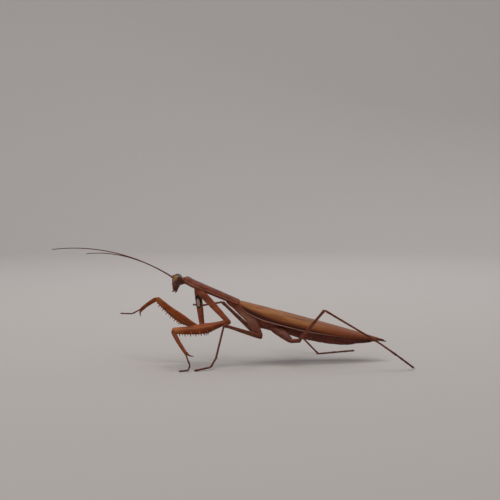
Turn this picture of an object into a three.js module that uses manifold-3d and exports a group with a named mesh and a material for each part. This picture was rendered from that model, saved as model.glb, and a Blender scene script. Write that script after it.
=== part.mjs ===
// A male European mantis in its brown form, life size, stalking with its forelegs half raised.
// Millimetres. +Z is up, the head looks along -Y and the animal's left side is +X.
// The origin is on the ground, under the middle of the whole outline.
import * as THREE from "three";
import { mergeVertices } from "three/addons/utils/BufferGeometryUtils.js";
import Module from "manifold-3d";

const wasm = await Module();
wasm.setup();

// ---------------------------------------------------------------- driving dimensions

const GAP = 0.3; // clear space between neighbouring plates and limbs
const JOINT_GAP = 0.2; // the same at the small joints of legs, feelers and mouth
const SOCKET = 0.32; // how far past a joint's centre the next limb starts before room is cut for it
const PLATE = 0.5; // thickness of the wing plates

const WAIST = [3.25, 1.75, 16.4]; // joint of the prothorax with the rest of the body
const BODY_ROLL = 9; // degrees, left side down
const PROTHORAX = { length: 16.5, lift: 23.5, height: 2.15, waistWidth: 2.7, lobeWidth: 3.9, lobeAt: 0.76 };
const BACK_LIFT = -15.6; // slope of the thorax, the abdomen and the wings behind the waist
const THORAX = { from: -1.6, to: 12.6 };
const ABDOMEN = { from: 12.95, to: 36.9 };
const TEGMEN = { from: 0.55, length: 40.3, width: 3.75, ridge: 0.55, arch: 0.12 };
const HIND_WING = { from: 32.5, to: 42.4, width: 1.2, bare: 41.0 };
const CERCUS = { length: 2.8, radius: 0.27 };

const HEAD = { height: 4.75, depth: 2.6, width: 4.9, ahead: 1.62, below: 0.93 };
const EYE = { spread: 2.18, rise: 0.92, back: 0.05, radii: [0.92, 1.1, 1.35], lean: 14 };
const PALP_RADIUS = 0.25;
const ANTENNA = { length: 34, radius: 0.25, spread: 0.55, rise: 1.5, scape: 0.75 };

const FOOT_CENTRE = 0.2; // height of a foot's centre line where it lies on the ground
const FOOT = { radius: 0.26, tipRadius: 0.25 };
// Where each leg is rooted, as distance from the waist, distance from the midline and height.
const LEG_ROOT = { fore: [12.4, 1.45, -0.3], mid: [3.9, 1.85, -2.7], hind: [11.2, 1.9, -3.55] };
const FORE_COXA_START = 2.15; // the fore coxa starts this far from its root, clear of the prothorax
const FORE_COXA_END = 0.1; // and ends this far before its joint with the femur
const FORE_FEMUR_BOW = 0.9; // bow of the fore femur towards its thorns, which leaves its back straight
const TROCHANTER_RADIUS = 0.55;
// Half depths of the walking legs' segments.
const LEG_SIZES = {
  mid: { coxa: 1.15, femur: 0.54, tibia: 0.33 },
  hind: { coxa: 1.25, femur: 0.45, tibia: 0.3 },
};
const LEG_LENGTHS = {
  fore: { coxa: 12.5, femur: 15.96, tibia: 7.5, tarsus: [3.3, 1.3, 3.0] },
  mid: { coxa: 6.0, femur: 13.24, tibia: 9.7, tarsus: [3.0, 5.1] },
  hind: { coxa: 6.4, trochanter: 2, femur: 14.6, tibia: 17.3, tarsus: [6.2, 6.2] },
};

// Pose of each leg: heading in degrees from straight ahead towards the left, lift above level.
// A step that says "down" falls to the ground within its own length.
const LEG_POSE = {
  fore_left: {
    coxa: [177.5, -47.5], femur: [20.6, -5.5], tibia: [134, -48],
    tarsus: [[-157, -72.5], [-27.5, "down"], [25.5, "down"]],
  },
  fore_right: {
    coxa: [180, -83], femur: [-24.5, 30.1], tibia: [-43.5, -29.9],
    tarsus: [[-39, -21.4], [-33, -3.5], [-30, -1.5]],
  },
  mid_left: {
    coxa: [140.3, -55.4], femur: [34.3, 19.3], tibia: [-54.9, -69.5],
    tarsus: [[44, -46.4], [23.9, "down"]],
  },
  mid_right: {
    coxa: [164.2, -71], femur: [-23.9, 40.4], tibia: [-58.3, -11.1],
    tarsus: [[-67, -6.5], [-71, -4.5]],
  },
  hind_left: {
    coxa: [133.5, -28.9], trochanter: [170, 2], femur: [118.5, 40.8], tibia: [-171.4, -31],
    tarsus: [[162.7, -34], [-167.7, "down"]],
  },
  hind_right: {
    coxa: [-174.7, -27.3], trochanter: [-141, 0], femur: [-71.3, 15.9], tibia: [145.7, "down"],
    tarsus: [[-160, "down"], [-160, "down"]],
  },
};

// ---------------------------------------------------------------- finishes

const finish = (color, roughness) => new THREE.MeshStandardMaterial({ color, roughness, metalness: 0 });
const FINISH = {
  shell: finish(0x6b3a2c, 0.5),
  face: finish(0x5a3428, 0.5),
  eye: finish(0x5e4636, 0.25),
  wing: finish(0xa8703c, 0.6),
  hindWing: finish(0x6e4630, 0.6),
  abdomen: finish(0x4c2620, 0.55),
  foreleg: finish(0x9a5228, 0.5),
  leg: finish(0x74402c, 0.5),
  feeler: finish(0x5c3a30, 0.6),
};

// ---------------------------------------------------------------- directions and frames

const rad = THREE.MathUtils.degToRad;
const lerp = THREE.MathUtils.lerp;
const smooth = THREE.MathUtils.smoothstep;
const vec = (x, y, z) => new THREE.Vector3(x, y, z);

function direction(heading, lift) {
  const h = rad(heading);
  const l = rad(lift);
  return vec(Math.sin(h) * Math.cos(l), -Math.cos(h) * Math.cos(l), Math.sin(l));
}

// A body frame: its along axis, its left side and its upper side, rolled about the along axis.
function bodyFrame(origin, heading, lift) {
  const along = direction(heading, lift);
  const left = vec(1, 0, 0);
  const up = new THREE.Vector3().crossVectors(left, along);
  if (up.z < 0) up.negate();
  const roll = rad(BODY_ROLL);
  const rolledLeft = left.clone().multiplyScalar(Math.cos(roll)).addScaledVector(up, -Math.sin(roll));
  const rolledUp = up.clone().multiplyScalar(Math.cos(roll)).addScaledVector(left, Math.sin(roll));
  const place = (s, w, h) =>
    origin.clone().addScaledVector(along, s).addScaledVector(rolledLeft, w).addScaledVector(rolledUp, h);
  return { along, left: rolledLeft, up: rolledUp, place };
}

const waist = vec(...WAIST);
const front = bodyFrame(waist, 0, PROTHORAX.lift);
const back = bodyFrame(waist, 180, BACK_LIFT);

// ---------------------------------------------------------------- closed surfaces

function signedVolume(points, faces) {
  let sum = 0;
  for (const [a, b, c] of faces) {
    sum += points[a].dot(new THREE.Vector3().crossVectors(points[b], points[c]));
  }
  return sum / 6;
}

// A closed geometry from shared points and triangles, turned so that its faces point out.
function closedGeometry(points, faces) {
  const outward = signedVolume(points, faces) > 0 ? faces : faces.map(([a, b, c]) => [a, c, b]);
  const geometry = new THREE.BufferGeometry();
  const numbers = points.flatMap((point) => point.toArray());
  geometry.setAttribute("position", new THREE.Float32BufferAttribute(numbers, 3));
  geometry.setIndex(outward.flat());
  return geometry;
}

// Rings of equal count between two pole points.
function loft(firstPole, rings, lastPole) {
  const sides = rings[0].length;
  const points = [...rings.flat(), firstPole, lastPole];
  const first = points.length - 2;
  const last = points.length - 1;
  const faces = [];
  for (let i = 0; i < sides; i += 1) {
    const j = (i + 1) % sides;
    faces.push([first, j, i]);
    for (let r = 0; r + 1 < rings.length; r += 1) {
      const a = r * sides;
      const b = a + sides;
      faces.push([a + i, a + j, b + j], [a + i, b + j, b + i]);
    }
    const end = (rings.length - 1) * sides;
    faces.push([last, end + i, end + j]);
  }
  return closedGeometry(points, faces);
}

// A plate: two grids of the same size, one above the other, closed along all four edges.
function plate(rows, columns, upper, lower) {
  const points = [];
  const layer = (surface) => {
    const start = points.length;
    for (let r = 0; r <= rows; r += 1) {
      for (let c = 0; c <= columns; c += 1) points.push(surface(r / rows, c / columns));
    }
    return (r, c) => start + r * (columns + 1) + c;
  };
  const top = layer(upper);
  const bottom = layer(lower);
  const faces = [];
  const quad = (a, b, c, d) => faces.push([a, b, c], [a, c, d]);
  for (let r = 0; r < rows; r += 1) {
    for (let c = 0; c < columns; c += 1) {
      quad(top(r, c), top(r, c + 1), top(r + 1, c + 1), top(r + 1, c));
      quad(bottom(r, c), bottom(r + 1, c), bottom(r + 1, c + 1), bottom(r, c + 1));
    }
    quad(top(r, 0), top(r + 1, 0), bottom(r + 1, 0), bottom(r, 0));
    quad(top(r + 1, columns), top(r, columns), bottom(r, columns), bottom(r + 1, columns));
  }
  for (let c = 0; c < columns; c += 1) {
    quad(top(0, c + 1), top(0, c), bottom(0, c), bottom(0, c + 1));
    quad(top(rows, c), top(rows, c + 1), bottom(rows, c + 1), bottom(rows, c));
  }
  return closedGeometry(points, faces);
}

// Stations from 0 to 1, closer together at both ends so that round ends stay round.
function stations(count) {
  return Array.from({ length: count }, (_, i) => 0.5 - 0.5 * Math.cos((Math.PI * (i + 1)) / (count + 1)));
}

// Share of the full section at station t, with round ends that take up the given shares.
function roundEnds(t, headShare, tailShare) {
  const head = Math.min(1, t / headShare);
  const tail = Math.min(1, (1 - t) / tailShare);
  const dome = (x) => Math.sqrt(1 - (1 - x) * (1 - x));
  return dome(head) * dome(tail);
}

// Value at t of a smooth curve through [station, value] pairs.
function through(pairs, t) {
  const next = pairs.findIndex(([at]) => at >= t);
  if (next === 0) return pairs[0][1];
  if (next < 0) return pairs[pairs.length - 1][1];
  const [t0, v0] = pairs[next - 1];
  const [t1, v1] = pairs[next];
  return lerp(v0, v1, smooth(t, t0, t1));
}

const signedPower = (x, power) => Math.sign(x) * Math.abs(x) ** power;

// A superellipse ring in the plane of two unit axes.
function ring(centre, sideAxis, upAxis, halfWidth, halfHeight, sides, squareness = 2, turn = 0) {
  return Array.from({ length: sides }, (_, i) => {
    const angle = (2 * Math.PI * (i + turn)) / sides;
    const across = signedPower(Math.cos(angle), 2 / squareness) * halfWidth;
    const rise = signedPower(Math.sin(angle), 2 / squareness) * halfHeight;
    return centre.clone().addScaledVector(sideAxis, across).addScaledVector(upAxis, rise);
  });
}

// ---------------------------------------------------------------- solids and meshes

function solidOf(geometry) {
  const bare = geometry.clone();
  bare.deleteAttribute("normal");
  bare.deleteAttribute("uv");
  const merged = mergeVertices(bare, 1e-4);
  return new wasm.Manifold(
    new wasm.Mesh({
      numProp: 3,
      vertProperties: new Float32Array(merged.attributes.position.array),
      triVerts: new Uint32Array(merged.index.array),
    }),
  );
}

function geometryOf(solid) {
  const mesh = solid.getMesh();
  const geometry = new THREE.BufferGeometry();
  geometry.setAttribute("position", new THREE.Float32BufferAttribute(mesh.vertProperties, 3));
  geometry.setIndex([...mesh.triVerts]);
  return geometry;
}

// The first geometry with room for its neighbours cut out of it.
function cleared(geometry, neighbours) {
  return geometryOf(neighbours.reduce((rest, other) => rest.subtract(solidOf(other)), solidOf(geometry)));
}

function joined(geometry, extras) {
  return geometryOf(extras.reduce((sum, extra) => sum.add(solidOf(extra)), solidOf(geometry)));
}

const mantis = new THREE.Group();

function addPart(name, geometry, material) {
  const mesh = new THREE.Mesh(geometry, material);
  mesh.name = name;
  mantis.add(mesh);
}

// ---------------------------------------------------------------- limbs

// A straight limb between two points. depth and width are half sizes as functions of the station;
// deep is the direction in which the limb is deep. round is the length of each round end.
// grow makes the whole limb larger all round, which is how room for it is cut in a neighbour.
function limb(from, to, { depth, width, deep, sides = 8, rings = 8, round = 0.35, bow = 0 }, grow = 0) {
  const along = to.clone().sub(from).normalize();
  const start = from.clone().addScaledVector(along, -grow);
  const finish = to.clone().addScaledVector(along, grow);
  const length = start.distanceTo(finish);
  const upAxis = deep.clone().addScaledVector(along, -deep.dot(along)).normalize();
  const sideAxis = new THREE.Vector3().crossVectors(along, upAxis);
  const end = Math.min(0.45, (round + grow) / length);
  const rise = (t) => bow * Math.sin(Math.PI * t);
  const centreAt = (t) => start.clone().lerp(finish, t).addScaledVector(upAxis, rise(t));
  const rows = stations(rings).map((t) => {
    const scale = roundEnds(t, end, end);
    const halfWidth = (width(t) + grow) * scale;
    const halfDepth = (depth(t) + grow) * scale;
    return ring(centreAt(t), sideAxis, upAxis, halfWidth, halfDepth, sides, 2, 0.5);
  });
  return loft(centreAt(0), rows, centreAt(1));
}

// A four-sided thorn standing on a surface point.
function thorn(root, tip, radius) {
  const along = tip.clone().sub(root).normalize();
  const helper = Math.abs(along.z) < 0.8 ? vec(0, 0, 1) : vec(1, 0, 0);
  const a = new THREE.Vector3().crossVectors(along, helper).normalize();
  const b = new THREE.Vector3().crossVectors(along, a);
  const base = ring(root, a, b, radius, radius, 4);
  return loft(root.clone().addScaledVector(along, -0.5 * radius), [base], tip);
}

// Points of a leg, from the base of the coxa to the tip of the tarsus.
function legPoints(base, lengths, pose) {
  const step = (from, length, [heading, lift]) => {
    const fall = Math.asin(Math.min(1, (from.z - FOOT_CENTRE) / length));
    const angle = lift === "down" ? -THREE.MathUtils.radToDeg(fall) : lift;
    return from.clone().addScaledVector(direction(heading, angle), length);
  };
  const trochanter = step(base, lengths.coxa, pose.coxa);
  const thigh = pose.trochanter ? step(trochanter, lengths.trochanter, pose.trochanter) : trochanter;
  const knee = step(thigh, lengths.femur, pose.femur);
  const ankle = step(knee, lengths.tibia, pose.tibia);
  const foot = [ankle];
  lengths.tarsus.forEach((length, i) => foot.push(step(foot[i], length, pose.tarsus[i])));
  return { base, trochanter, thigh, knee, ankle, foot };
}

// A tube of even section along straight steps, flattened where it lies on the ground.
function footTube(points, startOffset, radius, tipRadius) {
  const first = points[1].clone().sub(points[0]).normalize();
  const path = [points[0].clone().addScaledVector(first, startOffset), ...points.slice(1)];
  const rows = [];
  const sides = 8;
  path.forEach((point, i) => {
    const before = point.clone().sub(path[Math.max(0, i - 1)]).normalize();
    const after = path[Math.min(path.length - 1, i + 1)].clone().sub(point).normalize();
    const along = before.add(after).normalize();
    const sideAxis = new THREE.Vector3().crossVectors(along, vec(0, 0, 1)).normalize();
    const upAxis = new THREE.Vector3().crossVectors(sideAxis, along);
    const size = lerp(radius, tipRadius, i / (path.length - 1));
    const round = (centre, radius) => ring(centre, sideAxis, upAxis, radius, radius, sides, 2, 0.5);
    const isFirst = i === 0;
    const isLast = i === path.length - 1;
    const inset = 0.5 * size * (Number(isFirst) - Number(isLast));
    if (isFirst) rows.push(round(point, 0.6 * size));
    rows.push(round(point.clone().addScaledVector(along, inset), size));
    if (isLast) rows.push(round(point, 0.6 * size));
  });
  const flat = (p) => vec(p.x, p.y, Math.max(0, p.z));
  const middle = (row) => row.reduce((sum, p) => sum.add(p), vec(0, 0, 0)).divideScalar(row.length);
  const flattened = rows.map((row) => row.map(flat));
  return loft(middle(flattened[0]), flattened, middle(flattened[flattened.length - 1]));
}

// Point at a distance from a joint, on the way to the next joint.
function clearStart(joint, towards, distance) {
  return joint.clone().addScaledVector(towards.clone().sub(joint).normalize(), distance);
}

// ---------------------------------------------------------------- trunk

function prothorax() {
  const { length, height, waistWidth, lobeWidth, lobeAt } = PROTHORAX;
  const halfWidth = (t) =>
    waistWidth / 2 +
    0.25 * (1 - smooth(t, 0, 0.18)) +
    (lobeWidth - waistWidth) * 0.5 * Math.exp(-(((t - lobeAt) / 0.13) ** 2)) -
    0.1 * smooth(t, 0.88, 1);
  const halfHeight = (t) => (height / 2) * lerp(0.86, 1.05, t);
  const rows = stations(13).map((t) => {
    const scale = roundEnds(t, 0.03, 0.08);
    const crest = 0.18 * Math.exp(-(((t - 0.93) / 0.05) ** 2));
    const centre = front.place(t * length, 0, crest);
    return ring(centre, front.left, front.up, halfWidth(t) * scale, halfHeight(t) * scale, 16, 1.7);
  });
  return loft(front.place(0, 0, 0), rows, front.place(length, 0, 0));
}

// The soft neck, from the front of the prothorax to the back of the head.
function neck() {
  const from = front.place(PROTHORAX.length + GAP + JOINT_GAP, 0, -0.1);
  const options = { depth: () => 0.8, width: () => 0.8, deep: front.up, rings: 5, round: 0.2 };
  const tube = limb(from, headCentre, options);
  return cleared(tube, [headShape(JOINT_GAP)]);
}

const TRUNK_SIDES = 16;

// A trunk piece whose upper line, lower line and half width are given along the back.
function trunkPiece({ from, to, top, bottom, half, rings, headShare, tailShare, squareness = 2.1 }) {
  const middle = (s) => (through(top, s) + through(bottom, s)) / 2;
  const rows = stations(rings).map((t) => {
    const s = lerp(from, to, t);
    const scale = roundEnds(t, headShare, tailShare);
    const rise = ((through(top, s) - through(bottom, s)) / 2) * scale;
    const halfWidth = through(half, s) * scale;
    return ring(back.place(s, 0, middle(s)), back.left, back.up, halfWidth, rise, TRUNK_SIDES, squareness);
  });
  return loft(back.place(from, 0, middle(from)), rows, back.place(to, 0, middle(to)));
}

// Middle and hind parts of the thorax, under the wing roots.
function thorax() {
  return trunkPiece({
    ...THORAX,
    top: [[-1.6, -1.3], [0.3, -1.25], [1.5, -0.4], [12.6, -0.35]],
    bottom: [[-1.6, -1.9], [1, -3.0], [4, -4.5], [9, -5.1], [12.6, -4.7]],
    half: [[-1.6, 0.9], [1.5, 1.55], [3.2, 1.9], [6.5, 2.35], [12.6, 2.4]],
    rings: 11,
    headShare: 0.08,
    tailShare: 0.04,
  });
}

function abdomen() {
  return trunkPiece({
    ...ABDOMEN,
    top: [[12.95, -0.4], [28.5, -0.4], [31.2, -1.12], [36.9, -1.1]],
    bottom: [[12.95, -4.7], [18, -4.95], [25, -4.6], [31.7, -3.45], [34.8, -2.45], [36.9, -1.6]],
    half: [[12.95, 2.45], [22, 2.75], [30, 2.3], [34.5, 1.1], [36.9, 0.4]],
    rings: 14,
    headShare: 0.03,
    tailShare: 0.03,
    squareness: 2.2,
  });
}

function cercus(side) {
  const root = back.place(ABDOMEN.to - 0.7, side * 0.98, -1.36);
  const tip = root.clone().addScaledVector(back.along, CERCUS.length).addScaledVector(back.up, 0.15);
  const radius = (t) => CERCUS.radius * lerp(1.25, 0.95, t);
  return limb(root, tip, { depth: radius, width: radius, deep: back.up, sides: 6, rings: 8, round: 0.25 });
}

// ---------------------------------------------------------------- wings

const wingRidge = (s) => TEGMEN.ridge + TEGMEN.arch * (1 - ((s - 20.5) / 20.5) ** 2);

// Half width of the folded fore wing, and how far its outer edge falls below the ridge.
function tegmenSize(t) {
  const tip = t < 0.5 ? 1 : 1 - ((t - 0.5) / 0.5) ** 2.3;
  const spread = through([[0, 0.5], [0.09, 0.74], [0.3, 0.97], [0.5, 1]], t);
  return {
    width: TEGMEN.width * spread * lerp(0.1, 1, Math.max(0, tip)),
    fall: through([[0, 0.6], [0.07, 2.2], [0.2, 2.95], [0.4, 2.85], [0.62, 2.1], [0.85, 1.0], [1, 0.3]], t),
  };
}

// One fore wing: a plate that lies flat over the back and bends down along its outer edge.
function tegmen(side) {
  const squareness = 2.5;
  const surface = (inset) => (t, v) => {
    const { width, fall } = tegmenSize(t);
    const angle = (v * Math.PI) / 2;
    const s = TEGMEN.from + t * TEGMEN.length;
    const bend = Math.sin(angle) ** (2 / squareness);
    const drop = 1 - Math.cos(angle) ** (2 / squareness);
    const across = GAP / 2 + (width - GAP / 2) * bend - inset * Math.sin(angle);
    const height = wingRidge(s) - fall * drop - inset * Math.cos(angle);
    return back.place(s, side * Math.max(GAP / 2, across), height);
  };
  return plate(18, 6, surface(0), surface(PLATE));
}

// The folded tip of a hind wing, under the fore wing and just past its end.
function hindWing(side) {
  const span = HIND_WING.to - HIND_WING.from;
  const surface = (inset) => (t, v) => {
    const s = HIND_WING.from + t * span;
    const half = HIND_WING.width * lerp(1, 0.25, t * t);
    const covered = 1 - smooth(s, HIND_WING.bare, HIND_WING.to);
    const ridge = TEGMEN.ridge - (PLATE + GAP) * lerp(0.45, 1, covered);
    return back.place(s, side * (GAP / 2 + half * v), ridge - inset - 0.1 * half * v * v);
  };
  return plate(7, 3, surface(0), surface(PLATE));
}

// ---------------------------------------------------------------- head

const headCentre = front.place(PROTHORAX.length, 0, 0).add(vec(0, -HEAD.ahead, -HEAD.below));
const headAxes = { left: vec(1, 0, 0), back: vec(0, 1, 0) };

function eyeShape(side, grow) {
  const shape = new THREE.SphereGeometry(1, 12, 9);
  shape.scale(EYE.radii[0] + grow, EYE.radii[1] + grow, EYE.radii[2] + grow);
  shape.rotateY(rad(side * EYE.lean));
  const { x, y, z } = headCentre.clone().add(vec(side * EYE.spread, EYE.back, EYE.rise));
  shape.translate(x, y, z);
  shape.deleteAttribute("normal");
  shape.deleteAttribute("uv");
  return mergeVertices(shape, 1e-4);
}

// The head without the seats of its eyes, made larger all round by grow.
function headShape(grow) {
  const { height, depth, width } = HEAD;
  const widths = [[0, 0.2], [0.2, 0.36], [0.45, 0.68], [0.75, 1], [1, 0.86]];
  const depths = [[0, 0.45], [0.3, 0.75], [0.65, 1], [1, 0.82]];
  const halfWidth = (t) => grow + (width / 2) * through(widths, t);
  const halfDepth = (t) => grow + (depth / 2) * through(depths, t);
  const offset = (t) => through([[0, -0.5], [0.35, -0.32], [0.7, 0], [1, 0.1]], t);
  const low = 0.24;
  const rows = stations(11).map((u) => {
    const t = lerp(low, 1, u);
    const scale = roundEnds(u, 0.08, 0.16);
    const centre = headCentre.clone().add(vec(0, offset(t), (t - 0.5) * height));
    return ring(centre, headAxes.left, headAxes.back, halfWidth(t) * scale, halfDepth(t) * scale, 16, 2.3);
  });
  const pole = (t) => headCentre.clone().add(vec(0, offset(t), (t - 0.5) * height));
  return loft(pole(low), rows, pole(1));
}

const headCapsule = () => cleared(headShape(0), [eyeShape(-1, JOINT_GAP), eyeShape(1, JOINT_GAP)]);

// Upper lip, mandibles and lower lip as one pointed muzzle, with its four palps.
function mouthparts() {
  const top = headCentre.clone().add(vec(0, -0.42, -0.26 * HEAD.height - JOINT_GAP - 0.02));
  const tip = top.clone().add(vec(0, -0.14, -1.0));
  const muzzle = limb(top, tip, {
    depth: (t) => lerp(0.82, 0.5, t),
    width: (t) => lerp(0.86, 0.5, t),
    deep: headAxes.back,
    sides: 12,
    rings: 7,
    round: 0.3,
  });
  const palps = [];
  for (const side of [-1, 1]) {
    for (const [out, ahead, reach] of [[0.5, 0.95, 0.5], [0.3, -0.05, 0.75]]) {
      const root = top.clone().lerp(tip, 0.5).add(vec(side * out * 0.6, -ahead * 0.3, 0));
      const end = root.clone().add(vec(side * out * 0.8, -ahead * 0.75, -reach));
      palps.push(limb(root, end, {
        depth: () => PALP_RADIUS,
        width: () => PALP_RADIUS,
        deep: headAxes.back,
        sides: 6,
        rings: 3,
        round: 0.15,
      }));
    }
  }
  return joined(muzzle, palps);
}

// A feeler: a thick first joint, then a long lash that starts up and settles level.
const ANTENNA_POSE = {
  left: { heading: [4, 28], lift: [34, -5] },
  right: { heading: [-37, -44], lift: [24.5, -7.5] },
};

function antenna(side) {
  const pose = ANTENNA_POSE[side > 0 ? "left" : "right"];
  const count = 26;
  const brow = -HEAD.depth / 2 - JOINT_GAP + 0.1;
  const start = headCentre.clone().add(vec(side * ANTENNA.spread, brow, ANTENNA.rise));
  const points = [start];
  for (let i = 0; i < count; i += 1) {
    const t = (i + 0.5) / count;
    const heading = lerp(pose.heading[0], pose.heading[1], t);
    const lift = lerp(pose.lift[0], pose.lift[1], t);
    points.push(points[i].clone().addScaledVector(direction(heading, lift), ANTENNA.length / count));
  }
  const curve = new THREE.CatmullRomCurve3(points);
  const rows = stations(20).map((t) => {
    const along = curve.getTangentAt(t);
    const sideAxis = new THREE.Vector3().crossVectors(along, vec(0, 0, 1)).normalize();
    const upAxis = new THREE.Vector3().crossVectors(sideAxis, along);
    const scape = 0.12 * (1 - smooth(t * ANTENNA.length, ANTENNA.scape, ANTENNA.scape + 0.5));
    const size = (ANTENNA.radius + scape) * roundEnds(t, 0.006, 0.008);
    return ring(curve.getPointAt(t), sideAxis, upAxis, size, size, 6);
  });
  return loft(points[0], rows, points[count]);
}

// ---------------------------------------------------------------- legs

// Rows of thorns on the inner edges of the forelegs: where each row runs along the limb, how long its
// thorns are, how far they splay sideways and how far they lean towards the end of the limb.
const growing = (u) => lerp(0.35, 0.8, u);
const unequal = (u) => 0.45 + 0.2 * Math.cos(9 * Math.PI * u);
const FEMUR_THORNS = [
  { count: 4, start: 0.42, end: 0.8, radius: 0.24, splay: 0.45, lean: 0.15, length: () => 0.85 },
  { count: 10, start: 0.36, end: 0.93, radius: 0.16, splay: -0.45, lean: 0.1, length: unequal },
  { count: 3, start: 0.36, end: 0.5, radius: 0.22, splay: 0.05, lean: 0.3, length: () => 1.2 },
];
const TIBIA_THORNS = [
  { count: 6, start: 0.25, end: 0.93, radius: 0.15, splay: 0.5, lean: 0.5, length: growing },
  { count: 7, start: 0.25, end: 0.93, radius: 0.15, splay: -0.5, lean: 0.5, length: growing },
];

function thornRow(from, to, inward, depth, { count, start, end, length, radius, splay, lean }) {
  const along = to.clone().sub(from).normalize();
  const across = new THREE.Vector3().crossVectors(along, inward).normalize();
  const point = inward.clone().addScaledVector(across, splay).addScaledVector(along, lean).normalize();
  return Array.from({ length: count }, (_, i) => {
    const u = i / (count - 1);
    const t = lerp(start, end, u);
    const core = from.clone().lerp(to, t);
    const root = core.addScaledVector(inward, depth(t) * 0.5).addScaledVector(across, splay * 0.4);
    return thorn(root, root.clone().addScaledVector(point, length(u) + depth(t) * 0.5), radius);
  });
}

function inwardOf(axis, towards) {
  return towards.clone().addScaledVector(axis, -towards.dot(axis)).normalize();
}

function foreLeg(name, base, pose) {
  const points = legPoints(base, LEG_LENGTHS.fore, pose);
  const { trochanter, knee, ankle } = points;
  const coxaAxis = trochanter.clone().sub(base).normalize();
  const femurAxis = knee.clone().sub(trochanter).normalize();
  const tibiaAxis = ankle.clone().sub(knee).normalize();

  const coxaStart = base.clone().addScaledVector(coxaAxis, FORE_COXA_START);
  const coxaEnd = trochanter.clone().addScaledVector(coxaAxis, -FORE_COXA_END);
  const coxaOptions = {
    depth: (t) => lerp(1, 0.72, smooth(t, 0, 0.9)),
    width: (t) => lerp(0.72, 0.55, t),
    deep: inwardOf(coxaAxis, femurAxis),
    rings: 9,
    round: 0.5,
  };
  addPart(`${name}_coxa`, limb(coxaStart, coxaEnd, coxaOptions), FINISH.foreleg);

  const inward = inwardOf(femurAxis, tibiaAxis);
  const femurStart = clearStart(trochanter, knee, SOCKET);
  const depths = [[0, 0.55], [0.13, 0.74], [0.28, 1.07], [0.42, 1.38], [0.54, 1.36], [0.8, 1.02], [1, 0.76]];
  const femurDepth = (t) => through(depths, t);
  const femurOptions = {
    depth: femurDepth,
    width: (t) => through([[0, 0.5], [0.45, 0.68], [1, 0.5]], t),
    deep: inward,
    rings: 11,
    round: 0.45,
    bow: FORE_FEMUR_BOW,
  };
  const edge = (t) => femurDepth(t) + FORE_FEMUR_BOW * Math.sin(Math.PI * t);
  const femurThorns = FEMUR_THORNS.flatMap((row) => thornRow(femurStart, knee, inward, edge, row));
  const femur = joined(limb(femurStart, knee, femurOptions), femurThorns);
  const coxaRoom = limb(coxaStart, coxaEnd, coxaOptions, JOINT_GAP);
  addPart(`${name}_femur`, cleared(femur, [coxaRoom]), FINISH.foreleg);

  const tibiaStart = clearStart(knee, ankle, SOCKET);
  const tibiaInward = inwardOf(tibiaAxis, femurAxis.clone().negate());
  const tibiaDepth = (t) => lerp(0.7, 0.45, t);
  const tibia = limb(tibiaStart, ankle, {
    depth: tibiaDepth,
    width: (t) => lerp(0.44, 0.32, t),
    deep: tibiaInward,
    rings: 7,
    round: 0.35,
    bow: -0.2,
  });
  const clawRoot = ankle.clone().addScaledVector(tibiaAxis, -0.5);
  const clawTip = ankle.clone().addScaledVector(tibiaAxis, 1.35).addScaledVector(tibiaInward, 1.5);
  const claw = limb(clawRoot, clawTip, {
    depth: (t) => lerp(0.4, 0.1, t),
    width: (t) => lerp(0.32, 0.1, t),
    deep: tibiaInward,
    sides: 6,
    rings: 6,
    round: 0.15,
    bow: -0.3,
  });
  const tibiaThorns = TIBIA_THORNS.flatMap((row) =>
    thornRow(tibiaStart, ankle, tibiaInward, tibiaDepth, row),
  );
  const femurRoom = limb(femurStart, knee, femurOptions, JOINT_GAP);
  addPart(`${name}_tibia`, cleared(joined(tibia, [claw, ...tibiaThorns]), [femurRoom]), FINISH.foreleg);

  const outside = tibiaInward.clone().multiplyScalar(-0.2).addScaledVector(tibiaAxis, 0.4 + JOINT_GAP);
  const shifted = points.foot.map((p, i) => (i === 0 ? p.clone().add(outside) : p));
  addPart(`${name}_tarsus`, footTube(shifted, 0, FOOT.radius, FOOT.tipRadius), FINISH.foreleg);
}

// The thick first joint of a walking leg, from the side of the thorax down to the trochanter.
function hipShape({ base, trochanter }, size, grow) {
  const axis = trochanter.clone().sub(base).normalize();
  return limb(base, trochanter.clone().addScaledVector(axis, -0.2), {
    depth: (t) => lerp(size, 0.8, t),
    width: (t) => lerp(size * 0.8, 0.66, t),
    deep: inwardOf(axis, vec(0, 1, 0)),
    rings: 7,
    round: 0.6,
  }, grow);
}

// The trochanter where the leg turns between its coxa and its femur.
function turnedTrochanter(trochanter, thigh) {
  const axis = thigh.clone().sub(trochanter).normalize();
  return limb(trochanter.clone().addScaledVector(axis, -0.2), thigh.clone().addScaledVector(axis, 0.3), {
    depth: () => TROCHANTER_RADIUS,
    width: () => TROCHANTER_RADIUS,
    deep: inwardOf(axis, vec(0, 0, 1)),
    rings: 5,
    round: 0.5,
  });
}

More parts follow.
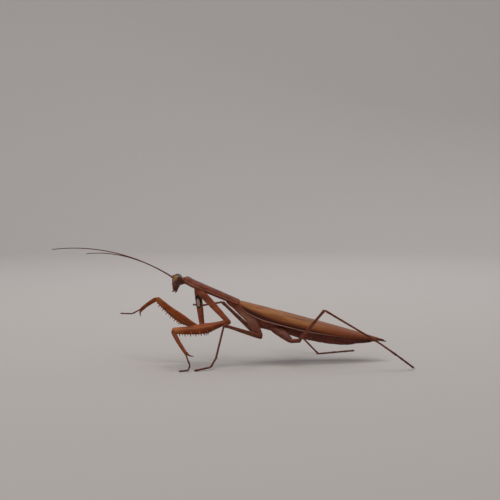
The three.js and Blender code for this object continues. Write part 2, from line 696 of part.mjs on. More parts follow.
function walkingLeg(name, points, sizes) {
  const { trochanter, thigh, knee, ankle, foot } = points;
  addPart(`${name}_coxa`, hipShape(points, sizes.coxa, 0), FINISH.leg);

  const femurAxis = knee.clone().sub(thigh).normalize();
  const isTurned = thigh !== trochanter;
  const femurStart = isTurned ? thigh : clearStart(trochanter, knee, SOCKET);
  const femurOptions = {
    depth: (t) => through([[0, sizes.femur * 1.2], [0.5, sizes.femur], [1, sizes.femur * 0.85]], t),
    width: () => sizes.femur * 0.85,
    deep: inwardOf(femurAxis, vec(0, 0, 1)),
  };
  const turn = isTurned ? [turnedTrochanter(trochanter, thigh)] : [];
  const femur = joined(limb(femurStart, knee, femurOptions), turn);
  addPart(`${name}_femur`, cleared(femur, [hipShape(points, sizes.coxa, JOINT_GAP)]), FINISH.leg);

  const tibiaAxis = ankle.clone().sub(knee).normalize();
  const tibia = limb(clearStart(knee, ankle, SOCKET), ankle, {
    depth: (t) => lerp(sizes.tibia * 1.15, sizes.tibia, smooth(t, 0, 0.2)),
    width: () => sizes.tibia,
    deep: inwardOf(tibiaAxis, vec(0, 0, 1)),
    round: 0.3,
  });
  addPart(`${name}_tibia`, cleared(tibia, [limb(femurStart, knee, femurOptions, JOINT_GAP)]), FINISH.leg);
  addPart(`${name}_tarsus`, footTube(foot, JOINT_GAP + 0.05, FOOT.radius, FOOT.tipRadius), FINISH.leg);
}

// ---------------------------------------------------------------- the whole animal

const SIDES = [["left", 1], ["right", -1]];
const rootOf = (frame, [s, w, h], side) => frame.place(s, side * w, h);

addPart("head", headCapsule(), FINISH.face);
addPart("mouthparts", mouthparts(), FINISH.face);
addPart("neck", neck(), FINISH.shell);
addPart("prothorax", prothorax(), FINISH.shell);

const hips = [];
for (const [kind, sizes] of Object.entries(LEG_SIZES)) {
  for (const [word, side] of SIDES) {
    const name = `${kind}_${word}`;
    const points = legPoints(rootOf(back, LEG_ROOT[kind], side), LEG_LENGTHS[kind], LEG_POSE[name]);
    walkingLeg(name, points, sizes);
    hips.push(hipShape(points, sizes.coxa, GAP));
  }
}
addPart("thorax", cleared(thorax(), hips), FINISH.shell);
addPart("abdomen", cleared(abdomen(), hips), FINISH.abdomen);

for (const [word, side] of SIDES) {
  addPart(`eye_${word}`, eyeShape(side, 0), FINISH.eye);
  addPart(`antenna_${word}`, antenna(side), FINISH.feeler);
  addPart(`tegmen_${word}`, tegmen(side), FINISH.wing);
  addPart(`hind_wing_${word}`, hindWing(side), FINISH.hindWing);
  addPart(`cercus_${word}`, cercus(side), FINISH.abdomen);
  foreLeg(`fore_${word}`, rootOf(front, LEG_ROOT.fore, side), LEG_POSE[`fore_${word}`]);
}

export default mantis;
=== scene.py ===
"""A male European mantis in its brown form, life size, walking low with its forelegs half raised.

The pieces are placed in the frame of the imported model: +Z is up, the head looks along -Y and the
animal's left side is +X. Sizes are written in millimetres and become metres when a mesh is made.
"""

from __future__ import annotations

import logging
import math
from dataclasses import dataclass, field
from enum import Enum
from functools import cache
from typing import Callable, Sequence

import bpy
import numpy as np
from mathutils import Matrix


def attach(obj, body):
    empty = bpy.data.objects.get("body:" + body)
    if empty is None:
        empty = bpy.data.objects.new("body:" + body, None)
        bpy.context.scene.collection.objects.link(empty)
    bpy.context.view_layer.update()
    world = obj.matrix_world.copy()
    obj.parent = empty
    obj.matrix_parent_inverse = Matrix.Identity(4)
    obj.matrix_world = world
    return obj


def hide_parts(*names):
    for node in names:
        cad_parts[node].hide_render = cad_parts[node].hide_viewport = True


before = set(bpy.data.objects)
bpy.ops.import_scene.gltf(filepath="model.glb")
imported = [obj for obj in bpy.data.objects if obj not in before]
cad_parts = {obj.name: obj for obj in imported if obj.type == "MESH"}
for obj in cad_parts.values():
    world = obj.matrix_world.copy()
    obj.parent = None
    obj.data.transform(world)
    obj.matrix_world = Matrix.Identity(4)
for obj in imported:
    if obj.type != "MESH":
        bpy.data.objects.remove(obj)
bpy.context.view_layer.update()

LOG = logging.getLogger("mantis")
MM = 0.001

Array = np.ndarray
Knots = Sequence[tuple[float, float]]
Triple = tuple[float, float, float]
Pattern = Callable[[Array, Array], Array]
Socket = bpy.types.NodeSocket
# The corners of a cell in the order that turns its face over.
TURNED = (0, 3, 2, 1)
SAMPLES_IN_MEAN = 9
# Sockets of the mix node in its colour mode.
MIX_SHARE, MIX_FIRST, MIX_SECOND, MIX_RESULT = 0, 6, 7, 2


# ------------------------------------------------------------------ numbers and directions


def vector(x: float, y: float, z: float) -> Array:
    """Returns a point or direction as an array."""
    return np.array((x, y, z), dtype=float)


LEFT, BACKWARD, UP = vector(1, 0, 0), vector(0, 1, 0), vector(0, 0, 1)


def unit(values: Array) -> Array:
    """Returns the vectors at length one, along the last axis."""
    return values / np.maximum(np.linalg.norm(values, axis=-1, keepdims=True), 1e-12)


def direction(heading: float, lift: float) -> Array:
    """Direction from a heading and a lift.

    Args:
        heading: degrees from straight ahead (-Y) towards the animal's left (+X).
        lift: degrees above level.

    Returns:
        A unit vector.
    """
    h, e = math.radians(heading), math.radians(lift)
    return vector(math.sin(h) * math.cos(e), -math.cos(h) * math.cos(e), math.sin(e))


def square_to(values: Array, axis: Array) -> Array:
    """Returns the vectors with their share along a unit axis taken out, at length one."""
    return unit(values - np.sum(values * axis, axis=-1, keepdims=True) * axis)


def curve(knots: Knots, t: Array) -> Array:
    """Smooth values through [station, value] knots.

    Between two knots the value is the cubic with the knots' own slopes, and a knot's slope is the
    harmonic mean of the slopes on its two sides, or zero at a turn, so nothing overshoots.

    Args:
        knots: stations in rising order, with their values.
        t: the stations asked for.

    Returns:
        One value for each station.
    """
    x, y = np.array(knots, dtype=float).T
    step = np.diff(x)
    rate = np.diff(y) / step
    slope = np.empty_like(y)
    slope[0], slope[-1] = rate[0], rate[-1]
    product = rate[:-1] * rate[1:]
    total = np.where(product > 0, rate[:-1] + rate[1:], 1.0)
    slope[1:-1] = np.where(product > 0, 2 * product / total, 0.0)
    i = np.clip(np.searchsorted(x, t) - 1, 0, len(step) - 1)
    u = np.clip((t - x[i]) / step[i], 0, 1)
    value = (1 + 2 * u) * (1 - u) ** 2 * y[i] + u**2 * (3 - 2 * u) * y[i + 1]
    return value + step[i] * (u * (1 - u) ** 2 * slope[i] - u**2 * (1 - u) * slope[i + 1])


def ramp(t: Array, start: float, end: float, low: float = 0.0, high: float = 1.0) -> Array:
    """Returns a straight rise from low at the start to high at the end, level outside them."""
    return curve(((start, low), (end, high)), t)


def hump(values: Array, centre: float, width: float) -> Array:
    """Returns a bell curve of height one: e to the minus square of the distance over the width."""
    return np.exp(-(((values - centre) / width) ** 2))


def signed_power(values: Array, power: float) -> Array:
    """Returns the absolute value to a power, with the sign of the value."""
    return np.sign(values) * np.abs(values) ** power


def stations(count: int) -> Array:
    """Returns stations inside 0 to 1, at half of one minus cosine, so both ends are dense."""
    return 0.5 - 0.5 * np.cos(np.pi * (np.arange(count) + 0.6) / (count + 0.2))


def with_ends(t: Array) -> Array:
    """Returns stations with 0 before them and 1 after them."""
    return np.concatenate(([0.0], t, [1.0]))


def dome(t: Array, head: float, tail: float) -> Array:
    """Share of the full section along a form with round ends.

    A quarter ellipse rises over the head share of the length and falls over the tail share.

    Args:
        t: stations from 0 to 1.
        head: share of the length in the first round end.
        tail: share of the length in the last round end.

    Returns:
        The share at each station, 0 at both ends and 1 between the round ends.
    """
    rise = np.clip(t / head, 0, 1)
    fall = np.clip((1 - t) / tail, 0, 1)
    return np.sqrt(1 - (1 - rise) ** 2) * np.sqrt(1 - (1 - fall) ** 2)


@dataclass(frozen=True)
class BodyFrame:
    """A straight stretch of the body: its origin, and its along, left and up axes."""

    origin: Array
    along: Array
    left: Array
    up: Array

    @classmethod
    def at(cls, origin: Array, heading: float, lift: float, roll: float) -> BodyFrame:
        """Frame at a point, rolled about its along axis with the left side down.

        Args:
            origin: where it starts.
            heading: heading of the along axis in degrees.
            lift: lift of the along axis in degrees.
            roll: roll in degrees.

        Returns:
            The frame.
        """
        along = direction(heading, lift)
        up = np.cross(LEFT, along)
        up = up if up[2] > 0 else -up
        c, s = math.cos(math.radians(roll)), math.sin(math.radians(roll))
        return cls(origin, along, LEFT * c - up * s, up * c + LEFT * s)

    def place(self, s: Array | float, w: Array | float, h: Array | float) -> Array:
        """Returns the points at s along, w to the left and h up."""
        s, w, h = np.broadcast_arrays(*(np.asarray(v, dtype=float)[..., None] for v in (s, w, h)))
        return self.origin + s * self.along + w * self.left + h * self.up


# ------------------------------------------------------------------ surfaces


@dataclass
class Surface:
    """A closed surface of quads and triangles, with a UV for each corner and values at points."""

    points: Array
    quads: Array
    quad_uv: Array
    triangles: Array
    triangle_uv: Array
    values: dict[str, Array] = field(default_factory=dict)

    def turned_out(self) -> Surface:
        """Returns the surface with its faces pointing out, by the sign of the volume they hold."""
        quads, triangles = self.points[self.quads], self.points[self.triangles]
        corners = np.concatenate((quads[:, (0, 1, 2)], quads[:, (0, 2, 3)], triangles))
        if np.sum(corners[:, 0] * np.cross(corners[:, 1], corners[:, 2])) < 0:
            self.quads, self.quad_uv = self.quads[:, ::-1], self.quad_uv[:, ::-1]
            self.triangles, self.triangle_uv = self.triangles[:, ::-1], self.triangle_uv[:, ::-1]
        return self

    def with_value(self, name: str, values: Array | float) -> Surface:
        """Returns the surface with a value for each point, or one value for all, under a name."""
        values = np.asarray(values, dtype=float)
        self.values[name] = np.broadcast_to(values, len(self.points)).copy()
        return self

    def piece(self, name: str) -> bpy.types.Object:
        """Makes the Blender object.

        Args:
            name: its name.

        Returns:
            A mesh object at the origin, smooth shaded, with the UV map "Along" in millimetres.
        """
        mesh = bpy.data.meshes.new(name)
        faces = self.quads.tolist() + self.triangles.tolist()
        mesh.from_pydata((self.points * MM).tolist(), [], faces)
        uv = np.concatenate((self.quad_uv.reshape(-1, 2), self.triangle_uv.reshape(-1, 2)))
        mesh.uv_layers.new(name="Along").data.foreach_set("uv", uv.astype(np.float32).ravel())
        for key, values in self.values.items():
            layer = mesh.attributes.new(key, "FLOAT", "POINT")
            layer.data.foreach_set("value", values.astype(np.float32))
        mesh.polygons.foreach_set("use_smooth", np.ones(len(faces), dtype=bool))
        mesh.update()
        piece = bpy.data.objects.new(name, mesh)
        bpy.context.scene.collection.objects.link(piece)
        return piece


def joined(surfaces: Sequence[Surface]) -> Surface:
    """Returns several surfaces as one, with 0 for each value that a surface doesn't have."""
    starts = np.cumsum([0] + [len(s.points) for s in surfaces[:-1]])
    keys = {key for s in surfaces for key in s.values}
    values = {key: [s.values.get(key, np.zeros(len(s.points))) for s in surfaces] for key in keys}
    return Surface(
        np.concatenate([s.points for s in surfaces]),
        np.concatenate([s.quads + n for s, n in zip(surfaces, starts)]),
        np.concatenate([s.quad_uv for s in surfaces]),
        np.concatenate([s.triangles + n for s, n in zip(surfaces, starts)]),
        np.concatenate([s.triangle_uv for s in surfaces]),
        {key: np.concatenate(parts) for key, parts in values.items()},
    )


def corners_of(grid: Array) -> Array:
    """Returns the four corners of each cell of a grid of numbers or of vectors."""
    cells = np.stack((grid[:-1, :-1], grid[:-1, 1:], grid[1:, 1:], grid[1:, :-1]), axis=2)
    return cells.reshape(-1, 4, *grid.shape[2:])


def grid_of(first: Array, second: Array) -> Array:
    """Returns the pairs of a first coordinate for each row and a second for each column."""
    return np.stack(np.meshgrid(first, second, indexing="ij"), axis=-1)


def numbers_of(rows: int, sides: int) -> Array:
    """Returns the point numbers of closed rows, with the first column again at the end."""
    numbers = np.arange(rows * sides).reshape(rows, sides)
    return np.concatenate((numbers, numbers[:, :1]), axis=1)


def ringed(rings: Array, first: Array, last: Array, along: Array, around: float) -> Surface:
    """Closed surface from rings of points and a pole at each end.

    Args:
        rings: points, rows by sides by 3.
        first: the pole before the first ring.
        last: the pole after the last ring.
        along: the U coordinate of each row, in millimetres.
        around: the V coordinate of a full turn, in millimetres.

    Returns:
        Quads between the rings and a fan of triangles at each pole.
    """
    rows, sides = rings.shape[:2]
    numbers = numbers_of(rows, sides)
    turn = np.arange(sides + 1) / sides * around
    uv = corners_of(grid_of(along, turn))
    pole = np.full(sides, rows * sides)
    fans = [np.stack((pole, numbers[0, 1:], numbers[0, :-1]), axis=-1),
            np.stack((pole + 1, numbers[-1, :-1], numbers[-1, 1:]), axis=-1)]
    v = np.stack(((np.arange(sides) + 0.5) / sides * around, turn[1:], turn[:-1]), axis=-1)
    fan_uv = [np.stack((np.full_like(v, along[end]), v[:, order]), axis=-1)
              for end, order in ((0, (0, 1, 2)), (-1, (0, 2, 1)))]
    points = np.concatenate((rings.reshape(-1, 3), first[None], last[None]))
    fans, fan_uv = np.concatenate(fans), np.concatenate(fan_uv)
    return Surface(points, corners_of(numbers), uv, fans, fan_uv).turned_out()


def on_rings(values: Array, sides: int) -> Array:
    """Returns values, by row or by row and side, for the points of rings and their poles."""
    values = np.broadcast_to(values, (len(values), sides))
    return np.concatenate((values.ravel(), (values[0].mean(), values[-1].mean())))


def slab(upper: Array, lower: Array, across: Array, along: Array) -> Surface:
    """Closed thin plate from two grids of points, joined all round their edge.

    Args:
        upper: rows by columns by 3.
        lower: the same, on the other face.
        across: the V coordinate of each column, in millimetres.
        along: the U coordinate of each row, in millimetres.

    Returns:
        The plate, all in quads.
    """
    rows, columns = upper.shape[:2]
    size = rows * columns
    numbers = np.arange(size).reshape(rows, columns)
    top = corners_of(numbers)
    edges = (numbers[:, 0], numbers[::-1, -1], numbers[-1], numbers[0, ::-1])
    walls = [np.stack((e[:-1], e[:-1] + size, e[1:] + size, e[1:]), axis=-1) for e in edges]
    quads = np.concatenate((top, top[:, TURNED] + size, *walls))
    flat = np.tile(grid_of(along, across).reshape(-1, 2), (2, 1))
    points = np.concatenate((upper.reshape(-1, 3), lower.reshape(-1, 3)))
    none = np.empty((0, 3), dtype=int)
    return Surface(points, quads, flat[quads], none, np.empty((0, 3, 2))).turned_out()


def lengths_along(path: Array) -> Array:
    """Returns how far along a path each of its points is."""
    return np.concatenate(([0], np.cumsum(np.linalg.norm(np.diff(path, axis=0), axis=1))))


def tube(path: Array, reference: Array, width: Array, depth: Array, sides: int = 24,
         squareness: float = 2.0) -> Surface:
    """A profile carried along a path.

    The profile is a superellipse: its share across is the cosine of the angle to the power two
    over the squareness, and its share up is the sine likewise. Across is square to the path and to
    the reference, and up is square to both.

    Args:
        path: centre points, the first and the last being the poles.
        reference: a direction that is never along the path.
        width: half width at each inner point of the path.
        depth: half depth at each inner point.
        sides: points round the profile.
        squareness: 2 for an ellipse, more for a squarer profile.

    Returns:
        The closed surface, with the value "station" from 0 to 1 along it.
    """
    along = unit(np.gradient(path, axis=0))[1:-1]
    across = unit(np.cross(along, reference))
    up = np.cross(across, along)
    angle = 2 * np.pi * (np.arange(sides) + 0.5) / sides
    c, s = (signed_power(f(angle), 2 / squareness)[None, :, None] for f in (np.cos, np.sin))
    rings = (path[1:-1, None] + across[:, None] * c * width[:, None, None]
             + up[:, None] * s * depth[:, None, None])
    length = lengths_along(path)
    surface = ringed(rings, path[0], path[-1], length[1:-1], 2 * np.pi * float(np.mean(depth)))
    surface.with_value("station", on_rings(length[1:-1, None] / length[-1], sides))
    return surface


def rounded_path(corners: Array, count: int, softness: float) -> Array:
    """Path through straight steps with its corners rounded.

    The steps are sampled evenly, and each sample is the mean of the path over a stretch as long as
    the softness, or as the room left to the nearer end.

    Args:
        corners: the corner points.
        count: how many points to return.
        softness: length over which a corner is rounded.

    Returns:
        The points, the first and last corner among them.
    """
    reach = lengths_along(corners)
    at = np.linspace(0, reach[-1], count)
    half = np.minimum(softness / 2, np.minimum(at, reach[-1] - at))
    samples = at[:, None] + half[:, None] * np.linspace(-1, 1, SAMPLES_IN_MEAN)
    spots = [np.interp(samples.ravel(), reach, corners[:, k]) for k in range(3)]
    return np.stack([spot.reshape(samples.shape) for spot in spots], axis=-1).mean(axis=1)


@dataclass(frozen=True)
class Limb:
    """A limb between two joints, deep towards one side, with round ends."""

    start: Array
    end: Array
    deep: Array
    depth: Knots
    width: Knots
    bow: float = 0.0
    round: tuple[float, float] = (0.5, 0.5)
    rings: int = 60
    sides: int = 28
    squareness: float = 2.0

    @property
    def along(self) -> Array:
        """Returns the direction from start to end."""
        return unit(self.end - self.start)

    @property
    def length(self) -> float:
        """Returns the distance from start to end."""
        return float(np.linalg.norm(self.end - self.start))

    def centre(self, t: Array) -> Array:
        """Returns points on the centre line, bowed to the deep side by a half sine wave."""
        t = np.asarray(t, dtype=float)[..., None]
        up = square_to(self.deep, self.along)
        return self.start + (self.end - self.start) * t + up * self.bow * np.sin(np.pi * t)

    def surface(self) -> Surface:
        """Returns the closed surface: a superellipse whose half sizes follow the two profiles."""
        t = with_ends(stations(self.rings))
        share = dome(t, self.round[0] / self.length, self.round[1] / self.length)[1:-1]
        width = curve(self.width, t[1:-1]) * share
        depth = curve(self.depth, t[1:-1]) * share
        return tube(self.centre(t), self.deep, width, depth, self.sides, self.squareness)


def spines(roots: Array, tips: Array, radius: Array, hook: Array, rows: int = 7,
           sides: int = 8) -> Surface:
    """Many thorns at once.

    Each is a cone whose radius falls with the station to the power 0.8, and whose centre line runs
    from root to tip and leans to the hook by a half sine wave.

    Args:
        roots: one point for each thorn.
        tips: one point for each thorn.
        radius: radius at each root.
        hook: how far each centre line bends, as vectors.
        rows: rings on each thorn.
        sides: points on each ring.

    Returns:
        The closed cones, with the value "tone" rising to one at the tips.
    """
    count = len(roots)
    t = np.linspace(0, 0.96, rows)
    span = tips - roots
    along = unit(span)
    helper = np.where(np.abs(along[:, 2:3]) < 0.8, UP, LEFT)
    a = unit(np.cross(along, helper))
    b = np.cross(along, a)
    angle = 2 * np.pi * np.arange(sides) / sides
    centre = (roots[:, None] + span[:, None] * t[None, :, None]
              + hook[:, None] * np.sin(np.pi * t)[None, :, None])
    girth = radius[:, None] * (1 - t[None]) ** 0.8
    spokes = a[:, None] * np.cos(angle)[None, :, None] + b[:, None] * np.sin(angle)[None, :, None]
    rings = centre[:, :, None] + spokes[:, None] * girth[:, :, None, None]
    one = ringed(rings[0], roots[0], tips[0], t, around=1.0)
    size = len(one.points)
    shift = np.arange(count) * size
    points = np.concatenate((rings.reshape(count, -1, 3), roots[:, None], tips[:, None]), axis=1)
    tone = on_rings(t[:, None] ** 2, sides)
    tone[-1] = 1.0
    return Surface(
        points.reshape(-1, 3),
        (one.quads[None] + shift[:, None, None]).reshape(-1, 4),
        np.tile(one.quad_uv, (count, 1, 1)),
        (one.triangles[None] + shift[:, None, None]).reshape(-1, 3),
        np.tile(one.triangle_uv, (count, 1, 1)),
        {"tone": np.tile(tone, count)},
    ).turned_out()


def leaning(degrees: float) -> Array:
    """Returns the matrix that leans what stands upright towards +X."""
    c, s = math.cos(math.radians(degrees)), math.sin(math.radians(degrees))
    return np.array(((c, 0, s), (0, 1, 0), (-s, 0, c)))


def ellipsoid(centre: Array, radii: Triple, turn: float = 0.0, rows: int = 40,
              sides: int = 56) -> Surface:
    """Ellipsoid turned about Y.

    With u from pole to pole and v round, a point is the sine of u times the cosine and the sine of
    v, and the cosine of u, each times its radius.

    Args:
        centre: its middle.
        radii: half sizes along X, Y and Z before the turn.
        turn: degrees that its upper pole leans to +X.
        rows: rings between the poles.
        sides: points on each ring.

    Returns:
        The closed surface.
    """
    u = (np.arange(rows) + 1)[:, None] * np.pi / (rows + 1)
    v = np.arange(sides)[None] * 2 * np.pi / sides
    ball = np.stack((np.sin(u) * np.cos(v), np.sin(u) * np.sin(v), np.cos(u) + 0 * v), axis=-1)
    matrix = leaning(turn) * np.array(radii)[None]
    poles = np.array(((0, 0, 1), (0, 0, -1))) @ matrix.T + centre
    return ringed(ball @ matrix.T + centre, *poles, u[:, 0] * radii[2], around=6.0)


# ------------------------------------------------------------------ finishes


def linear(code: str) -> tuple[float, float, float, float]:
    """Returns a display colour written as six hex digits as linear numbers with full alpha."""
    parts = [int(code[i:i + 2], 16) / 255 for i in (0, 2, 4)]
    low, high = [v / 12.92 for v in parts], [((v + 0.055) / 1.055) ** 2.4 for v in parts]
    r, g, b = (lo if v <= 0.04045 else hi for v, lo, hi in zip(parts, low, high))
    return r, g, b, 1.0


class Graph:
    """A material's node tree, with short ways to add the nodes that the finishes share."""

    def __init__(self, name: str) -> None:
        """Starts a material of a name, with a shader and its output."""
        self.material = bpy.data.materials.new(name)
        self.material.use_nodes = True
        self.tree = self.material.node_tree
        self.shader = next(n for n in self.tree.nodes if n.type == "BSDF_PRINCIPLED")

    def made(self, kind: str, output: str | int, inputs: dict[str | int, object],
             **settings: object) -> Socket:
        """Adds a node.

        Args:
            kind: its type.
            output: the output asked for.
            inputs: a socket, a number, a list or a colour in six hex digits for each input.
            settings: its other settings.

        Returns:
            The output.
        """
        node = self.tree.nodes.new(kind)
        for key, value in settings.items():
            setattr(node, key, value)
        for key, value in inputs.items():
            if isinstance(value, Socket):
                self.tree.links.new(value, node.inputs[key])
            else:
                node.inputs[key].default_value = linear(value) if isinstance(value, str) else value
        return node.outputs[output]

    def place(self, stretch: Triple, uv: bool) -> Socket:
        """Returns stretched millimetres of the UV map "Along", or of the object's coordinates."""
        if uv:
            source, factor = self.made("ShaderNodeUVMap", "UV", {}, uv_map="Along"), 1.0
        else:
            source, factor = self.made("ShaderNodeTexCoord", "Object", {}), 1 / MM
        scale = [v * factor for v in stretch]
        return self.made("ShaderNodeMapping", "Vector", {"Vector": source, "Scale": scale})

    def noise(self, scale: float, stretch: Triple = (1, 1, 1), detail: float = 4,
              uv: bool = False) -> Socket:
        """Returns a noise from 0 to 1, at a scale in cycles for each millimetre."""
        return self.made("ShaderNodeTexNoise", "Fac",
                         {"Scale": scale, "Detail": detail, "Vector": self.place(stretch, uv)})

    def cells(self, scale: float, stretch: Triple = (1, 1, 1), uv: bool = False,
              feature: str = "F1") -> Socket:
        """Returns the distance pattern of a Voronoi texture."""
        return self.made("ShaderNodeTexVoronoi", "Distance",
                         {"Scale": scale, "Vector": self.place(stretch, uv)}, feature=feature)

    def value(self, name: str) -> Socket:
        """Returns the surface's own value of a name."""
        return self.made("ShaderNodeAttribute", "Fac", {}, attribute_name=name)

    def band(self, source: Socket, low: float, high: float, start: float = 0.0,
             end: float = 1.0) -> Socket:
        """Returns a value stretched smoothly from low..high to start..end, and held outside."""
        inputs = {"Value": source, "From Min": low, "From Max": high}
        inputs |= {"To Min": start, "To Max": end}
        return self.made("ShaderNodeMapRange", "Result", inputs, interpolation_type="SMOOTHSTEP")

    def times(self, source: Socket, factor: float) -> Socket:
        """Returns a value times a number."""
        return self.made("ShaderNodeMath", "Value", {0: source, 1: factor}, operation="MULTIPLY")

    def mixed(self, share: Socket, first: Socket | str, second: Socket | str) -> Socket:
        """Returns two colours mixed, by the share of the second."""
        inputs = {MIX_SHARE: share, MIX_FIRST: first, MIX_SECOND: second}
        return self.made("ShaderNodeMix", MIX_RESULT, inputs, data_type="RGBA", clamp_factor=True)

    def relief(self, height: Socket, depth: float) -> None:
        """Gives the shader a bump of a pattern from 0 to 1, with its depth in millimetres."""
        inputs = {"Strength": 1.0, "Distance": depth * MM, "Height": height}
        bump = self.made("ShaderNodeBump", "Normal", inputs)
        self.tree.links.new(bump, self.shader.inputs["Normal"])

    def done(self, colour: Socket, rough: tuple[float, float], coat: float = 0.0,
             specular: float = 0.5) -> bpy.types.Material:
        """Joins the colour and the gloss to the shader.

        Args:
            colour: the base colour.
            rough: lowest and highest roughness, which follow a fine noise.
            coat: weight of a clear coat.
            specular: level of the plain reflection.

        Returns:
            The finished material.
        """
        inputs = self.shader.inputs
        self.tree.links.new(colour, inputs["Base Color"])
        self.tree.links.new(self.band(self.noise(3.0), 0.3, 0.7, *rough), inputs["Roughness"])
        inputs["Coat Weight"].default_value = coat
        inputs["Specular IOR Level"].default_value = specular
        return self.material


@dataclass(frozen=True)
class ShellFinish:
    """Satin shell: blotched in two shades, speckled, darker where "tone" and paler where "mark"."""

    name: str
    light: str
    dark: str
    deep: str
    pale: str
    rough: tuple[float, float] = (0.42, 0.58)
    blotch: float = 0.9
    stretch: Triple = (1.0, 0.4, 1.0)
    speckle: float = 0.3
    grain: float = 0.012
    gloss: float = 0.2

    def marked(self, graph: Graph, colour: Socket) -> Socket:
        """Returns the colour with the pale marks laid over it."""
        return graph.mixed(graph.value("mark"), colour, self.pale)

    def material(self) -> bpy.types.Material:
        """Returns the node material."""
        graph = Graph(self.name)
        blotches = graph.band(graph.noise(self.blotch, self.stretch, 5), 0.3, 0.7)
        colour = graph.mixed(blotches, self.dark, self.light)
        specks = graph.band(graph.cells(5.5), 0.10, 0.24, self.speckle, 0.0)
        colour = graph.mixed(specks, colour, self.deep)
        colour = self.marked(graph, graph.mixed(graph.value("tone"), colour, self.deep))
        graph.relief(graph.noise(9.0, detail=3), self.grain)
        return graph.done(colour, self.rough, specular=self.gloss)


@dataclass(frozen=True)
class SpotFinish(ShellFinish):
    """The fore coxa's shell: black where "spot" is under one, pale where "heart" is under one."""

    ring: str = "15100f"
    centre: str = "a98f86"

    def marked(self, graph: Graph, colour: Socket) -> Socket:
        """Returns the colour with the spot and its pale middle laid over it."""
        spot = graph.value("spot")
        colour = graph.mixed(graph.band(spot, 0.94, 1.06, 1.0, 0.0), colour, self.ring)
        heart = graph.value("heart")
        return graph.mixed(graph.band(heart, 0.9, 1.1, 1.0, 0.0), colour, self.centre)


@dataclass(frozen=True)
class WingFinish:
    """Leathery wing: long streaks between veins, a dark lower band of painted shade and a pale
    front edge.
    """

    name: str
    light: str
    dark: str
    warm: str
    deep: str
    pale: str
    vein: str
    rough: tuple[float, float] = (0.48, 0.64)
    streaks: float = 2.0

    def material(self) -> bpy.types.Material:
        """Returns the node material."""
        graph = Graph(self.name)
        streak = graph.band(graph.noise(self.streaks, (0.07, 1.0, 1.0), 3, uv=True), 0.28, 0.72)
        mottle = graph.band(graph.noise(0.5, (0.4, 1.0, 1.0), 4, uv=True), 0.35, 0.65, 0.0, 0.5)
        colour = graph.mixed(streak, self.dark, self.light)
        colour = graph.mixed(mottle, colour, self.dark)
        net = graph.cells(2.6, (0.62, 1.2, 1.0), uv=True, feature="DISTANCE_TO_EDGE")
        colour = graph.mixed(graph.band(net, 0.02, 0.07, 0.3, 0.0), colour, self.vein)
        # Painted shade: the warm and then the deep colour where "band" is high, on the lower part
        # of the wing that bends down.
        colour = graph.mixed(graph.band(graph.value("band"), 0.0, 0.5), colour, self.warm)
        colour = graph.mixed(graph.band(graph.value("band"), 0.4, 0.9), colour, self.deep)
        colour = graph.mixed(graph.times(graph.value("vein"), 0.85), colour, self.vein)
        colour = graph.mixed(graph.value("mark"), colour, self.pale)
        graph.relief(graph.band(net, 0.0, 0.12), 0.012)
        return graph.done(colour, self.rough, specular=0.2)


@dataclass(frozen=True)
class EyeFinish:
    """Faceted eye: red-brown, olive where "crown" is high, and ochre where "front" is high, its own
    paler colour with painted light on its lit front.
    """

    name: str = "compound_eye"
    body: str = "54261a"
    crown: str = "57452e"
    front: str = "946e38"
    back: str = "34140e"

    def material(self) -> bpy.types.Material:
        """Returns the node material."""
        graph = Graph(self.name)
        streak = graph.band(graph.noise(1.8, (0.6, 0.6, 2.4)), 0.36, 0.7)
        colour = graph.mixed(streak, self.body, self.back)
        colour = graph.mixed(graph.band(graph.value("crown"), 0.3, 0.9), colour, self.crown)
        # Painted light: the ochre patch where "front" is high, over the eye's own paler colour,
        # stands for its lit front.
        ochre = graph.band(graph.value("front"), 0.2, 0.8, 0.0, 0.9)
        colour = graph.mixed(ochre, colour, self.front)
        graph.relief(graph.cells(15.0, feature="SMOOTH_F1"), 0.006)
        return graph.done(colour, (0.24, 0.36), coat=0.08, specular=0.35)


class Dye(Enum):
    """The finishes of the animal, each with the record's slot that it belongs to."""

    SHELL = ("shell", ShellFinish(
        "thorax_shell", "80402c", "622d20", "2e130e", "b88068", blotch=0.7))
    FACE = ("face", ShellFinish("face_shell", "84493a", "633528", "2c1510", "94703e", blotch=1.4))
    EYE = ("eye", EyeFinish())
    # The fore wing's warm and deep colours paint the shade on its bent-down lower band.
    WING = ("forewing", WingFinish(
        "fore_wing_leather", "b87b43", "7c4820", "7a3a19", "3e1a10", "a6786c", "54301c"))
    FOLD = ("hindwing", WingFinish(
        "hind_wing_film", "62402c", "48281a", "3e2016", "28140f", "6a4a3c", "30190f"))
    BELLY = ("abdomen", ShellFinish(
        "belly_plates", "793829", "5b2920", "2f1611", "84564a", blotch=0.6))
    ARM = ("foreleg", ShellFinish(
        "foreleg_shell", "964a1e", "743517", "38180e", "b87a48", gloss=0.12))
    ARM_SPOT = ("foreleg", SpotFinish(
        "foreleg_coxa_spotted", "a25733", "7e3f2b", "38180e", "b87a48"))
    LEG = ("leg", ShellFinish("leg_shell", "7e4430", "5e3022", "2c1610", "8a5a48", blotch=1.2))
    FEELER = ("feeler", ShellFinish("feeler_shell", "7c4436", "5e3026", "3a1c16", "8a5a4a"))

    @property
    def slot(self) -> str:
        """Returns the record's slot."""
        return self.value[0]

    @property
    def finish(self) -> ShellFinish | WingFinish | EyeFinish:
        """Returns the finish."""
        return self.value[1]


@cache
def material_of(dye: Dye) -> bpy.types.Material:
    """Returns a dye's material, which is made once."""
    return dye.finish.material()


